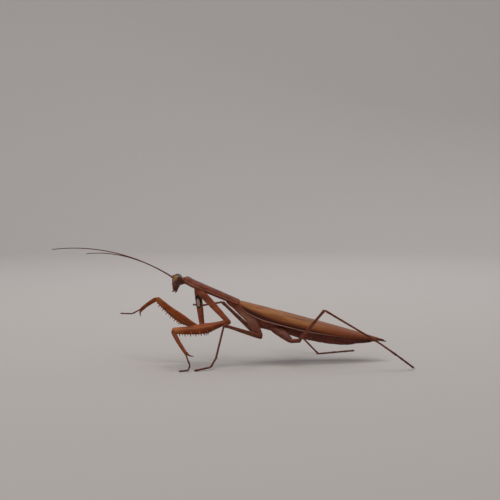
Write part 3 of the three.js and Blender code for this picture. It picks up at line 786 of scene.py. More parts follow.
def dress(surface: Surface, name: str, dye: Dye, *nodes: str) -> None:
    """Makes a surface a finished piece of the animal, with nothing below the ground.

    Args:
        surface: its shape.
        name: the piece's name.
        dye: its finish.
        nodes: the CAD nodes that it stands for.
    """
    surface.points[:, 2] = np.maximum(surface.points[:, 2], 0.0)
    for key in ("tone", "mark"):
        surface.values.setdefault(key, np.zeros(len(surface.points)))
    piece = surface.piece(name)
    piece.data.materials.append(material_of(dye))
    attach(piece, "root")
    dye.slot
    if nodes:
        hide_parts(*nodes)
    LOG.info("%s: %d faces", name, len(piece.data.polygons))


# ------------------------------------------------------------------ the body's layout


class Side(Enum):
    """A side of the animal, with its sign along the left axis."""

    LEFT = 1
    RIGHT = -1

    @property
    def word(self) -> str:
        """Returns the word used in names."""
        return self.name.lower()


class Kind(Enum):
    """A pair of legs."""

    FORE = "fore"
    MID = "mid"
    HIND = "hind"


WAIST = vector(3.25, 1.75, 16.4)
BODY_ROLL = 9.0
FRONT = BodyFrame.at(WAIST, 0, 23.5, BODY_ROLL)
BACK = BodyFrame.at(WAIST, 180, -15.6, BODY_ROLL)
FOOT_CENTRE = 0.2
LIES_BELOW = 0.5


@dataclass(frozen=True)
class LegPlan:
    """Root, lengths and pose of one leg. A step with no lift falls to the ground within its length.

    A turn is the length, heading and lift of a trochanter that lies between the coxa and the femur.
    """

    kind: Kind
    side: Side
    root: Triple
    lengths: tuple[float, ...]
    steps: tuple[tuple[float, float | None], ...]
    turn: Triple = (0.0, 0.0, 0.0)

    @property
    def trochanter(self) -> Array:
        """Returns the step from the end of the coxa to the start of the femur."""
        return direction(self.turn[1], self.turn[2]) * self.turn[0]

    @property
    def name(self) -> str:
        """Returns the leg's name, as in its nodes."""
        return f"{self.kind.value}_{self.side.word}"

    def joints(self) -> Array:
        """Returns the joints from the base of the coxa to the tip of the foot."""
        body = FRONT if self.kind is Kind.FORE else BACK
        along, across, rise = self.root
        points = [body.place(along, self.side.value * across, rise)]
        for index, (length, (heading, lift)) in enumerate(zip(self.lengths, self.steps)):
            start = points[-1] + (self.trochanter if index == 1 else 0.0)
            if lift is None:
                drop = min(1.0, (start[2] - FOOT_CENTRE) / length)
                lift = -math.degrees(math.asin(drop))
            points.append(start + direction(heading, lift) * length)
        return np.array(points)


ROOTS = {Kind.FORE: (12.4, 1.45, -0.3), Kind.MID: (3.9, 1.85, -2.7), Kind.HIND: (11.2, 1.9, -3.55)}
LENGTHS = {
    Kind.FORE: (12.5, 15.96, 7.5, 3.3, 1.3, 3.0),
    Kind.MID: (6.0, 13.24, 9.7, 3.0, 5.1),
    Kind.HIND: (6.4, 14.6, 17.3, 6.2, 6.2),
}
STEPS = {
    (Kind.FORE, Side.LEFT): ((177.5, -47.5), (20.6, -5.5), (134, -48), (-157, -72.5),
                             (-27.5, None), (25.5, None)),
    (Kind.FORE, Side.RIGHT): ((180, -83), (-24.5, 30.1), (-43.5, -29.9), (-39, -21.4),
                              (-33, -3.5), (-30, -1.5)),
    (Kind.MID, Side.LEFT): ((140.3, -55.4), (34.3, 19.3), (-54.9, -69.5), (44, -46.4),
                            (23.9, None)),
    (Kind.MID, Side.RIGHT): ((164.2, -71), (-23.9, 40.4), (-58.3, -11.1), (-67, -6.5),
                             (-71, -4.5)),
    (Kind.HIND, Side.LEFT): ((133.5, -28.9), (118.5, 40.8), (-171.4, -31), (162.7, -34),
                             (-167.7, None)),
    (Kind.HIND, Side.RIGHT): ((-174.7, -27.3), (-71.3, 15.9), (145.7, None), (-160, None),
                              (-160, None)),
}
TURNS = {(Kind.HIND, Side.LEFT): (2.0, 170, 2), (Kind.HIND, Side.RIGHT): (2.0, -141, 0)}


def leg_plan(kind: Kind, side: Side) -> LegPlan:
    """Returns the plan of one leg."""
    turn = TURNS.get((kind, side), (0.0, 0.0, 0.0))
    return LegPlan(kind, side, ROOTS[kind], LENGTHS[kind], STEPS[kind, side], turn)


def section(sides: int, squareness: float) -> tuple[Array, Array, Array]:
    """Superellipse round a stretch of the body, from the underside up the left side and over.

    Args:
        sides: points round it.
        squareness: 2 for an ellipse, more for a squarer profile.

    Returns:
        The shares across and up, and the angle up the side from -90 below to 90 on top.
    """
    angle = (-90 + 360 * np.arange(sides) / sides)[None]
    turn = np.radians(angle)
    c, s = signed_power(np.cos(turn), 2 / squareness), signed_power(np.sin(turn), 2 / squareness)
    return c, s, np.where(np.abs(angle) <= 90, angle, 180 - angle)


# ------------------------------------------------------------------ trunk


@dataclass(frozen=True)
class Prothorax:
    """The long fore body: a saddle with a keel, a cross groove and a thin pale rim."""

    length: float = 16.5
    height: float = 2.15
    waist_width: float = 2.7
    lobe_width: float = 3.9
    lobe_at: float = 0.76
    rim: float = 0.12
    rim_angle: float = -4.0
    teeth: int = 62
    neck_folds: int = 6
    rows: int = 180
    sides: int = 100

    def half_width(self, t: Array) -> Array:
        """Returns half the width: wider at the waist's end, and a bell round the coxae."""
        lobe = (self.lobe_width - self.waist_width) / 2 * hump(t, self.lobe_at, 0.13)
        waist = 0.25 * (1 - ramp(t, 0, 0.18))
        return self.waist_width / 2 + waist + lobe - 0.1 * ramp(t, 0.88, 1)

    def surface(self) -> Surface:
        """Shell of the prothorax.

        A superellipse section whose sides carry a rim, a bell over the angle, and whose back
        carries a keel. The groove is a bell over the station that bends forward down the sides.
        Both ends close as quarter ellipses.

        Returns:
            The surface, with the rim as "mark", and the underside, the groove and the painted shade
            under the rim as "tone".
        """
        t = stations(self.rows)[:, None]
        share = dome(t, 0.02, 0.06)
        c, s, side_angle = section(self.sides, 1.8)
        rim = hump(side_angle, self.rim_angle, 6)
        bumps = 0.03 * (0.5 + 0.5 * np.cos(2 * np.pi * self.teeth * t)) * ramp(t, 0.3, 0.6)
        groove = hump(t, self.lobe_at + 0.02 + 0.03 * (1 - s), 0.01) * ramp(s, 0, 0.3)
        keel = hump(side_angle, 90, 4.5)
        tuck = 0.10 * curve(((-50, 1), (self.rim_angle - 4, 1), (self.rim_angle, 0)), side_angle)
        width = self.half_width(t) + (self.rim + bumps) * rim - tuck
        height = self.height / 2 * (0.86 + 0.19 * t) * (1 - 0.06 * groove)
        crest = 0.16 * hump(t, 0.93, 0.05)
        rise = (height * s + 0.06 * keel) * share + crest
        across = width * c * share
        poles = [FRONT.place(place, 0, 0) for place in (0, self.length)]
        rings = FRONT.place(t * self.length, across, rise)
        surface = ringed(rings, *poles, t[:, 0] * self.length, around=9.0)
        # Painted shade in the tuck under the pale rim, and darker towards the underside.
        rim_shade_and_underside = hump(side_angle, self.rim_angle - 9, 4) + 0.5 * ramp(side_angle, -70, -40, 1, 0)
        back = 0.22 * ramp(side_angle, 25, 60)
        tone = np.clip(0.55 * rim_shade_and_underside + 0.5 * groove + 0.2 * keel + back, 0, 1)
        surface.with_value("tone", on_rings(tone, self.sides))
        pale = np.clip(1.3 * rim**1.5, 0, 1) * ramp(t, 0.02, 0.2, 0.4, 1)
        return surface.with_value("mark", on_rings(pale, self.sides))

    def neck(self, to: Array) -> Surface:
        """Soft neck with shallow ring folds.

        Args:
            to: the middle of the head.

        Returns:
            A tube from inside the prothorax to inside the head.
        """
        start = FRONT.place(self.length - 0.6, 0, 0.1)
        t = with_ends(stations(40))
        path = start + (to - start) * t[:, None]
        radius = 0.9 + 0.025 * np.cos(2 * np.pi * self.neck_folds * t[1:-1])
        return tube(path, FRONT.up, radius, radius, 40).with_value("tone", 0.2)


@dataclass(frozen=True)
class Trunk:
    """A stretch of the hind body given by its upper line, lower line and half width."""

    span: tuple[float, float]
    top: Knots
    bottom: Knots
    half: Knots
    ends: tuple[float, float]
    rows: int = 240
    sides: int = 96
    squareness: float = 2.15

    def surface(self, relief: Pattern, tone: Pattern, mark: Pattern) -> Surface:
        """Builds the stretch.

        Each section is a superellipse between the two lines, made larger or smaller by the relief.

        Args:
            relief: change of the section's size in millimetres, from place along and side angle.
            tone: the value "tone", from the same.
            mark: the value "mark", from the same.

        Returns:
            The closed surface.
        """
        u = stations(self.rows)
        place = (self.span[0] + (self.span[1] - self.span[0]) * u)[:, None]
        c, s, side_angle = section(self.sides, self.squareness)
        share = dome(u, *self.ends)[:, None]
        top, bottom = curve(self.top, place), curve(self.bottom, place)
        bump = relief(place, side_angle)
        across = (curve(self.half, place) + bump) * c * share
        rise = (top + bottom) / 2 + ((top - bottom) / 2 + bump) * s * share
        poles = [BACK.place(v, 0, (curve(self.top, v) + curve(self.bottom, v)) / 2)
                 for v in self.span]
        surface = ringed(BACK.place(place, across, rise), *poles, place[:, 0], around=14.0)
        for key, value in (("tone", tone), ("mark", mark)):
            values = np.clip(value(place, side_angle), 0, 1)
            surface.with_value(key, on_rings(values, self.sides))
        return surface


def thorax_surface() -> Surface:
    """Middle and hind thorax: side plates parted by slanting grooves, with paler skin between.

    Returns:
        The surface. A groove is a bell over the place along it, which moves back down the sides.
    """
    trunk = Trunk((-3.6, 13.4),
                  ((-3.6, -0.1), (-1.0, 0.05), (0.2, 0.42), (1.6, 0.36), (3.5, 0.1), (13.4, -0.3)),
                  ((-3.6, -0.7), (-2.2, -1.3), (-0.6, -2.15), (1, -3.05), (4, -4.6), (9, -5.15),
                   (13.4, -4.75)),
                  ((-3.6, 0.95), (-1.5, 1.35), (0.3, 1.62), (3.2, 2.05), (6.5, 2.4), (13.4, 2.45)),
                  (0.05, 0.04))

    def grooves(place: Array, angle: Array) -> Array:
        """Returns how deep the grooves are, from 0 to 1."""
        slant = place + 0.028 * angle
        deep = hump(slant, 2.2, 0.16) + hump(slant, 5.0, 0.2) + hump(slant, 6.3, 0.14)
        return deep + hump(slant, 9.0, 0.2) + 0.6 * hump(angle, -48 + 1.2 * place, 3.5)

    return trunk.surface(
        lambda place, angle: 0.05 - 0.11 * grooves(place, angle) + 0.05 * np.sin(1.9 * place),
        lambda place, angle: 0.05 + 0.55 * grooves(place, angle)
        + 0.25 * ramp(angle, -90, -10, 1, 0),
        # Mark: paler skin between the plates, and a broad pale patch low on the side, the plate's
        # paler colour with painted light that lifts the shade cast by the wing.
        lambda place, angle: 0.35 * hump(place + 0.028 * angle, 5.65, 0.4) * hump(angle, -25, 30)
        + 0.7 * hump(place, 2.6, 2.4) * hump(angle, -28, 32),
    )


@dataclass(frozen=True)
class Abdomen:
    """The abdomen: overlapping ring plates, a side fold that parts them, and the two cerci."""

    plate: float = 3.05
    first: float = 12.6
    end: float = 37.4
    cercus_length: float = 2.8
    cercus_rings: int = 11

    def surface(self) -> Surface:
        """Plates of the abdomen.

        The section grows by a share of each plate's length and steps back at the next, and draws in
        at the side fold by a bell over the angle.

        Returns:
            The closed surface.
        """
        trunk = Trunk((self.first, self.end),
                      ((12.6, -0.35), (28.5, -0.1), (34, 0.05), (37.4, -0.25)),
                      ((12.6, -4.75), (18, -5.05), (25, -4.7), (31.7, -3.6), (34.8, -2.4),
                       (37.4, -1.5)),
                      ((12.6, 2.45), (22, 2.8), (30, 2.3), (34.5, 1.25), (37.4, 0.55)),
                      (0.02, 0.03), rows=420)

        def saw(place: Array) -> Array:
            """Returns the share of its plate's length at a place."""
            return ((place - self.first) / self.plate) % 1.0

        def growth(place: Array) -> Array:
            """Returns 0 at a plate's front edge rising to 1 just before the next plate."""
            return curve(((0, 0), (0.9, 1), (0.97, 0.9), (1, 0)), saw(place))

        return trunk.surface(
            lambda place, angle: 0.07 * growth(place) - 0.04 - 0.14 * hump(angle, -12, 7),
            # Tone: painted shade at the front of each plate, where it tucks under the one before,
            # and in the side fold; darker towards the underside.
            lambda place, angle: 0.4 * (1 - curve(((0, 0), (0.12, 1), (1, 1)), saw(place)))
            + 0.35 * hump(angle, -12, 9) + 0.3 * ramp(angle, -75, -40, 1, 0),
            lambda place, angle: 0.22 * hump(saw(place), 0.93, 0.05) * (angle < 5),
        )

    def tip(self) -> Surface:
        """Returns the two end plates as one surface: a short upper one and a spoon below."""
        upper = Limb(BACK.place(self.end - 1.4, 0, -0.55), BACK.place(self.end + 0.7, 0, -0.5),
                     BACK.up, ((0, 0.3), (1, 0.12)), ((0, 0.6), (0.6, 0.5), (1, 0.3)), rings=30)
        lower = Limb(BACK.place(self.end - 2.4, 0, -1.7), BACK.place(self.end + 1.0, 0, -0.95),
                     BACK.up, ((0, 0.45), (0.6, 0.32), (1, 0.1)), ((0, 0.8), (0.6, 0.6), (1, 0.3)),
                     rings=36)
        return joined([upper.surface().with_value("tone", 0.3),
                       lower.surface().with_value("tone", 0.2)])

    def cercus(self, side: Side) -> Surface:
        """Ringed, tapering tail feeler.

        Args:
            side: which of the two.

        Returns:
            A tube whose radius falls to the tip and swells on each of its rings.
        """
        root = BACK.place(self.end - 1.0, side.value * 0.72, -0.75)
        t = with_ends(stations(110))
        reach = self.cercus_length * t
        path = (root + reach[:, None] * BACK.along + (0.5 * t)[:, None] * BACK.up
                + (side.value * (0.12 * np.sin(np.pi * t) + 0.12 * t))[:, None] * BACK.left)
        ring = 0.035 * np.abs(np.sin(np.pi * self.cercus_rings * t[1:-1]))
        radius = curve(((0, 0.2), (0.3, 0.25), (1, 0.12)), t[1:-1]) + ring
        radius = radius * dome(t[1:-1], 0.05, 0.06)
        return tube(path, BACK.up, radius, radius, 20).with_value("tone", 0.2)

    def build(self) -> None:
        """Makes and dresses the pieces."""
        dress(self.surface(), "abdomen_plates", Dye.BELLY, "abdomen")
        dress(self.tip(), "abdomen_end_plates", Dye.BELLY)
        for side in Side:
            name = f"cercus_{side.word}"
            dress(self.cercus(side), f"{name}_ringed", Dye.BELLY, name)


# ------------------------------------------------------------------ wings


@dataclass(frozen=True)
class Tegmen:
    """A folded fore wing: flat over the back, bent down outside and overlapping its fellow."""

    start: float = -0.1
    length: float = 41.7
    width: float = 3.75
    ridge: float = 0.55
    arch: float = 0.12
    arch_at: float = 20.5
    overlap: float = 0.85
    inner_edge: float = 0.22
    fringes: int = 11
    thickness: float = 0.11
    squareness: float = 2.5
    rows: int = 260
    columns: int = 84

    def ridge_at(self, s: Array) -> Array:
        """Returns the height of the wing over the midline, a shallow parabola."""
        return self.ridge + self.arch * (1 - ((s - self.arch_at) / self.arch_at) ** 2)

    def size(self, t: Array) -> tuple[Array, Array]:
        """Returns the half width and the fall of the outer edge at stations."""
        tip = 1 - (np.clip(t - 0.5, 0, 1) / 0.5) ** 2.3
        spread = curve(((0, 0.36), (0.02, 0.53), (0.09, 0.74), (0.3, 0.97), (0.5, 1)), t)
        width = self.width * spread * (0.04 + 0.96 * np.maximum(tip, 0) ** 0.9)
        knots = ((0, 0.6), (0.07, 2.2), (0.2, 2.95), (0.4, 2.85), (0.62, 2.1), (0.85, 1.0),
                 (1, 0.14))
        return width, curve(knots, t)

    def veins(self, t: Array, v: Array) -> Array:
        """Returns 1 at the inner edge and on the long veins, which fan out as bells over v."""
        lines = ((-0.12, -0.02), (-0.03, 0.06), (0.04, 0.15), (0.11, 0.25), (0.18, 0.35),
                 (0.26, 0.44), (0.36, 0.52), (0.48, 0.6), (0.58, 0.67), (0.66, 0.74), (0.74, 0.82),
                 (0.88, 0.91))
        edge = ramp(v, -self.inner_edge, -0.195, 1, 0)
        return np.clip(sum(hump(v, a + (b - a) * t, 0.009) for a, b in lines) + edge, 0, 1)

    def surface(self, side: Side) -> Surface:
        """One wing.

        Across the wing the angle runs from 0 at the midline to 90 degrees at the edge. The place
        across is the sine to the power two over the squareness, times the width. The drop is one
        less the cosine likewise, times the fall. The left wing lies on the right one.

        Args:
            side: which wing.

        Returns:
            A thin plate, with "band" for the painted shade of the dark lower part, "mark" for the
            pale edge and "vein".
        """
        t = np.linspace(0, 1, self.rows)[:, None]
        v = np.linspace(-self.inner_edge, 1, self.columns)[None]
        width, fall = self.size(t)
        angle = np.clip(v, 0, 1) * np.pi / 2
        bend = np.sin(angle) ** (2 / self.squareness)
        drop = 1 - np.cos(angle) ** (2 / self.squareness)
        s = self.start + t * self.length + 0 * v
        inner = self.overlap * np.minimum(v, 0) / self.inner_edge
        inner = inner * np.minimum(1, width / self.width)
        across = np.where(v < 0, inner, width * bend)
        layer = (0.08 if side is Side.LEFT else -0.08) * (1 - 0.8 * t**8)
        vein = self.veins(t, v)
        fringe = hump(t, 0.5, 0.24) * ramp(v, 0.3, 0.5, 1, 0)
        fringe = fringe * np.abs(np.sin(2 * np.pi * self.fringes * v)) ** 3
        height = self.ridge_at(s) - fall * drop + layer + 0.04 * vein
        out = side.value
        upper = BACK.place(s, out * across, height)
        tuck = self.thickness * np.sin(angle)
        lower = BACK.place(s, out * (across - tuck), height - self.thickness * np.cos(angle) - 0.02)
        surface = slab(upper, lower, v[0] * 6.0, t[:, 0] * self.length)
        # Band: painted shade on the lower part near the outer edge, which bends down, with the rear
        # half of the wing darkened as well.
        middle = 0.75 + 0.12 * ramp(t, 0.05, 0.3)
        most = curve(((0, 0.3), (0.06, 1), (0.42, 1), (0.6, 0.72), (0.85, 0.6), (1, 0.8)), t)
        band = curve(((-0.24, 0), (-0.06, 0.5), (0.07, 1)), v - middle) * most
        rear = curve(((0.42, 0), (0.64, 0.4), (1, 0.72)), t) * ramp(v, 0, 0.6, 0.5, 1)
        band = np.maximum(band, rear)
        mark = ramp(v, 0.965, 0.982) * curve(((0, 0.4), (0.08, 1), (0.5, 0.8), (0.85, 0)), t)
        for key, values in (("band", band), ("mark", mark), ("vein", np.maximum(vein, fringe))):
            surface.with_value(key, np.tile((values + 0 * height).ravel(), 2))
        return surface


@dataclass(frozen=True)
class HindWing:
    """A folded hind wing: a pleated film under the fore wing that shows past its tip."""

    start: float = 9.0
    end: float = 42.35
    film: float = 0.09
    pleats: float = 4.5
    rows: int = 170
    columns: int = 60

    def surface(self, side: Side) -> Surface:
        """One film, flat under the fore wing, with pleats as a sine wave across it.

        Args:
            side: which wing.

        Returns:
            A thin plate.
        """
        s = np.linspace(self.start, self.end, self.rows)[:, None]
        v = np.linspace(0, 1, self.columns)[None]
        knots = ((9, 2.3), (25, 2.5), (32.5, 1.75), (38, 1.15), (41, 0.72), (42.1, 0.32),
                 (42.35, 0.12))
        half = curve(knots, s)
        height = curve(((9, 0.1), (30, 0.14), (40, 0.24), (42.35, 0.3)), s)
        height = height - 0.12 * half * v**2 + 0.04 * np.sin(2 * np.pi * self.pleats * v)
        height = height + 0.04 * side.value
        across = half * v - 0.25 * (1 - v) * np.minimum(1, half)
        upper = BACK.place(s + 0 * v, side.value * across, height)
        lower = BACK.place(s + 0 * v, side.value * across, height - self.film)
        surface = slab(upper, lower, v[0] * 3.0, s[:, 0])
        pleat = hump((v * self.pleats) % 1.0, 0.25, 0.12) + 0 * s
        # An even light share of the painted shade of "band" over the film, which lies under the
        # fore wing.
        surface.with_value("vein", np.tile((0.7 * pleat).ravel(), 2)).with_value("band", 0.15)
        return surface


# ------------------------------------------------------------------ head


@dataclass(frozen=True)
class Head:
    """A heart-shaped head, flat in front, with bulging eyes at its upper corners."""

    height: float = 4.75
    depth: float = 2.6
    width: float = 4.9
    ahead: float = 1.62
    below: float = 0.93
    eye_place: Triple = (2.14, 0.02, 0.94)
    eye_radii: Triple = (0.96, 1.12, 1.38)
    eye_lean: float = 14.0
    feeler_spread: float = 0.55
    feeler_rise: float = 1.5
    low: float = 0.2
    rows: int = 200
    sides: int = 200

    @property
    def centre(self) -> Array:
        """Returns the middle of the head."""
        return FRONT.place(16.5, 0, 0) + vector(0, -self.ahead, -self.below)

    def eye_distance(self, points: Array) -> Array:
        """Returns how far points are from the nearer eye's middle, in radii of the eye."""
        local = points - self.centre
        local = np.concatenate((np.abs(local[..., :1]), local[..., 1:]), axis=-1)
        upright = (local - np.array(self.eye_place)) @ leaning(self.eye_lean)
        return np.linalg.norm(upright / np.array(self.eye_radii), axis=-1)

    def relief(self, x: Array, z: Array, ahead: Array) -> tuple[Array, Array, Array]:
        """Sockets, shields and grooves of the face.

        Args:
            x: distance from the midline.
            z: height over the middle of the head.
            ahead: 1 on the face falling to 0 on the back.

        Returns:
            How far the face stands out, how deep it is grooved from 0 to 1, and how pale it is.
        """
        side = np.abs(x)
        socket = np.hypot(side - self.feeler_spread, z - self.feeler_rise + 0.05)
        rim = 0.09 * hump(socket, 0.33, 0.08) - 0.16 * hump(socket, 0, 0.2)
        shield = np.maximum(np.abs(side / 0.86), np.abs(z - 0.72 - 0.12 * side) / 0.40)
        lip = np.maximum(side / (0.95 + 0.2 * z), np.abs(z + 0.20) / 0.46)
        edge = hump(shield, 1, 0.07) + hump(lip, 1, 0.06)
        seams = hump(side, 0.62 + 0.2 * (z - 2), 0.045) + hump(side, 1.22 + 0.3 * (z - 2), 0.05)
        cheek = hump(side, 1.45 + 0.45 * z, 0.05) * (z < -0.15)
        groove = np.clip(ahead * edge + seams * (z > 1.85) + cheek, 0, 1)
        plate = 0.07 * (shield < 1) * (1 - shield**4) + 0.05 * (lip < 1) * (1 - lip**4)
        pale = 0.7 * hump(np.minimum(shield, 1.6), 0, 0.95) + 0.5 * hump(socket, 0.33, 0.2)
        return ahead * (rim + plate) - 0.05 * groove, groove, ahead * pale

    def capsule(self) -> Surface:
        """The head's shell.

        Each level is a superellipse whose half width, half depth and place follow the height,
        pushed out by the face's relief and by a low rim, a bell over the distance from the eye.

        Returns:
            The closed surface.
        """
        t = self.low + (1 - self.low) * stations(self.rows)[:, None]
        u = (t - self.low) / (1 - self.low)
        share = dome(u, 0.08, 0.2)
        widths = ((0, 0.2), (0.2, 0.36), (0.45, 0.66), (0.75, 0.97), (0.9, 0.95), (1, 0.86))
        depths = ((0, 0.45), (0.3, 0.75), (0.65, 1), (0.85, 0.94), (1, 0.8))
        offset = curve(((0, -0.5), (0.35, -0.32), (0.7, 0), (1, 0.1)), t)
        c, s, _ = section(self.sides, 2.35)
        half_width = self.width / 2 * curve(widths, t) * share
        half_depth = self.depth / 2 * curve(depths, t) * share
        x, z = half_width * c, (t - 0.5) * self.height + 0 * c
        ahead = curve(((-1, 1), (-0.45, 1), (-0.1, 0), (1, 0)), s) + 0 * t
        out, groove, pale = self.relief(x, z, ahead)
        crown = 0.10 * hump(x, 0, 1.1) * ramp(t, 0.85, 1)
        rings = self.centre + np.stack((x, half_depth * s + offset, z + crown), axis=-1)
        away = self.eye_distance(rings)
        radial = unit(np.stack(np.broadcast_arrays(c / self.width, s / self.depth, 0 * x), axis=-1))
        lift = (out + 0.09 * hump(away, 1.07, 0.05)) * share
        rings = rings + radial * lift[..., None]
        ends = ((-0.45, (self.low - 0.5) * self.height), (0.1, 0.5 * self.height + 0.1))
        poles = [self.centre + vector(0, *end) for end in ends]
        surface = ringed(rings, *poles, z[:, 0], around=12.0)
        rear = ramp(s, -0.2, 0.6) + 0 * t
        top = ramp(t, 0.86, 0.97, 0, 0.5)
        tone = np.clip(0.75 * groove + 0.45 * rear + 0.5 * hump(away, 1.0, 0.05) + top, 0, 1)
        surface.with_value("tone", on_rings(tone, self.sides))
        return surface.with_value("mark", on_rings(np.clip(pale, 0, 1) * (1 - groove), self.sides))

    def eye(self, side: Side) -> Surface:
        """Compound eye.

        Args:
            side: which eye.

        Returns:
            An ellipsoid, with "crown" from -1 below to 1 above, and "front", a cone over the
            distance from a point ahead of the middle and a little above it.
        """
        x, y, z = self.eye_place
        centre = self.centre + vector(side.value * x, y, z)
        surface = ellipsoid(centre, self.eye_radii, side.value * self.eye_lean, rows=90, sides=120)
        ahead = -(surface.points[:, 1] - centre[1]) / self.eye_radii[1]
        rise = (surface.points[:, 2] - centre[2]) / self.eye_radii[2]
        surface.with_value("crown", rise)
        # The "front" cone places the painted light on the lit front of the eye.
        return surface.with_value("front", 1.2 - np.hypot(ahead - 0.8, 1.35 * (rise - 0.42)))

    def ocelli(self) -> Surface:
        """Returns the three simple eyes on the brow, as domes."""
        places = ((0, -1.13, 1.78), (0.34, -1.08, 2.06), (-0.34, -1.08, 2.06))
        domes = [ellipsoid(self.centre + vector(*place), (0.15, 0.17, 0.15), rows=14, sides=24)
                 for place in places]
        return joined([d.with_value("front", 0.6) for d in domes])

    def muzzle(self) -> Surface:
        """Upper lip, jaws, lower lip and the hull behind them.

        Returns:
            The closed forms as one surface.
        """
        top = self.centre + vector(0, -0.42, -1.05)

        def form(start: Array, end: Array, depth: Knots, width: Knots, tone: float,
                 bow: float = 0.0) -> Surface:
            """Returns one form between two points given from the muzzle's top, deep to the back."""
            limb = Limb(top + start, top + end, BACKWARD, depth, width, bow, (0.25, 0.3),
                        rings=44, sides=32, squareness=2.4)
            return limb.surface().with_value("tone", tone)

        lip = form(vector(0, -0.72, 0.25), vector(0, -0.55, -0.98),
                   ((0, 0.1), (0.6, 0.16), (1, 0.08)), ((0, 0.72), (0.45, 0.64), (1, 0.34)),
                   tone=0.05)
        core = form(vector(0, 0.05, 0.4), vector(0, -0.2, -1.1), ((0, 0.9), (0.6, 0.62), (1, 0.36)),
                    ((0, 0.8), (1, 0.42)), tone=0.45)
        lower = form(vector(0, 0.5, -0.05), vector(0, -0.1, -1.25),
                     ((0, 0.3), (0.6, 0.32), (1, 0.16)), ((0, 0.5), (0.6, 0.48), (1, 0.26)),
                     tone=0.35, bow=0.1)
        jaws = [form(vector(k * 0.84, -0.30, 0.35), vector(k * 0.2, -0.45, -1.12),
                     ((0, 0.5), (0.4, 0.42), (1, 0.12)), ((0, 0.28), (0.5, 0.26), (1, 0.1)),
                     tone=0.3, bow=-0.1) for k in (-1, 1)]
        inner = [form(vector(k * 0.6, 0.2, 0.1), vector(k * 0.2, -0.15, -1.2),
                      ((0, 0.34), (1, 0.14)), ((0, 0.22), (1, 0.14)), tone=0.3) for k in (-1, 1)]
        return joined([core, lip, lower, *jaws, *inner])

    def palps(self) -> Surface:
        """Returns the two pairs of jointed mouth feelers: beads of a tube along bent paths."""
        top = self.centre + vector(0, -0.42, -1.35)
        shapes = []
        for k in (-1, 1):
            jaw = ((0.62, 0.25, 0.15), (0.82, 0.28, -0.2), (0.86, -0.15, -0.66),
                   (0.72, -0.62, -0.84), (0.52, -1.0, -0.98))
            lip = ((0.26, 0.4, -0.55), (0.42, 0.36, -0.85), (0.36, 0.05, -1.1),
                   (0.28, -0.25, -1.22))
            for steps, radius in ((jaw, 0.135), (lip, 0.12)):
                corners = top + np.array(steps) * (k, 1, 1)
                path = rounded_path(corners, 84, 0.22)
                t = np.linspace(0, 1, 84)[1:-1]
                beads = 1 - 0.34 * np.abs(np.cos(np.pi * (len(steps) - 1) * t)) ** 8
                girth = radius * beads * curve(((0, 0.8), (0.7, 1), (1, 0.85)), t)
                girth = girth * dome(t, 0.05, 0.09)
                shapes.append(tube(path, vector(0.2, 0.1, 1), girth, girth, sides=18))
        return joined(shapes).with_value("tone", 0.15)

    def build(self) -> None:
        """Makes and dresses the head's pieces."""
        dress(self.capsule(), "head_capsule", Dye.FACE, "head")
        dress(self.muzzle(), "mouthparts_closed", Dye.FACE, "mouthparts")
        dress(self.palps(), "mouth_palps", Dye.FACE)
        dress(self.ocelli(), "ocelli", Dye.EYE)
        for side in Side:
            name = f"eye_{side.word}"
            dress(self.eye(side), f"compound_{name}", Dye.EYE, name)


@dataclass(frozen=True)
class Feeler:
    """A thread-like feeler of many short rings on a thick first joint."""

    head: Head
    side: Side
    length: float = 34.0
    rings: int = 78
    points_per_ring: int = 6
    sides: int = 12
    root_radius: float = 0.19
    tip_radius: float = 0.1
    scape: float = 0.78
    pedicel: float = 1.2

    def path(self) -> Array:
        """Returns the centre line, stepped out along a heading and a lift that change evenly."""
        headings, lifts = (4, 28), (34, -5)
        if self.side is Side.RIGHT:
            headings, lifts = (-37, -44), (24.5, -7.5)
        count = self.rings * self.points_per_ring
        t = (np.arange(count) + 0.5) / count
        h, e = (np.radians(a + (b - a) * t) for a, b in (headings, lifts))
        steps = np.stack((np.sin(h) * np.cos(e), -np.cos(h) * np.cos(e), np.sin(e)), axis=-1)
        start = self.head.centre + vector(self.side.value * self.head.feeler_spread, -1.2, 1.5)
        path = np.concatenate((np.zeros((1, 3)), np.cumsum(steps, axis=0)))
        return start + path * self.length / count

    def build(self) -> None:
        """Makes and dresses the feeler: two limbs for its first joints, and a ringed tube."""
        path = self.path()
        t = np.linspace(0, 1, len(path))[1:-1]
        ring = 1 - 0.22 * np.abs(np.cos(np.pi * self.rings * t)) ** 6
        radius = (self.root_radius + (self.tip_radius - self.root_radius) * t) * ring
        radius = radius * dome(t, 0.001, 0.004)
        lash = tube(path, UP, radius, radius, self.sides)
        tone = 0.25 + 0.35 * t + 0.25 * (1 - ring)
        lash.with_value("tone", on_rings(tone[:, None], self.sides))
        forward = unit(path[12] - path[0])
        thick, thin = ((0, 0.2), (0.35, 0.29), (1, 0.24)), ((0, 0.15), (0.6, 0.2), (1, 0.15))
        scape = Limb(path[0] - 0.12 * forward, path[0] + self.scape * forward, UP, thick, thick,
                     rings=36)
        pedicel = Limb(path[0] + (self.scape - 0.08) * forward, path[0] + self.pedicel * forward,
                       UP, thin, thin, round=(0.1, 0.15), rings=24)
        name = f"antenna_{self.side.word}"
        first = [limb.surface().with_value("mark", 0.25) for limb in (scape, pedicel)]
        dress(joined([lash, *first]), f"{name}_ringed", Dye.FEELER, name)


# ------------------------------------------------------------------ legs


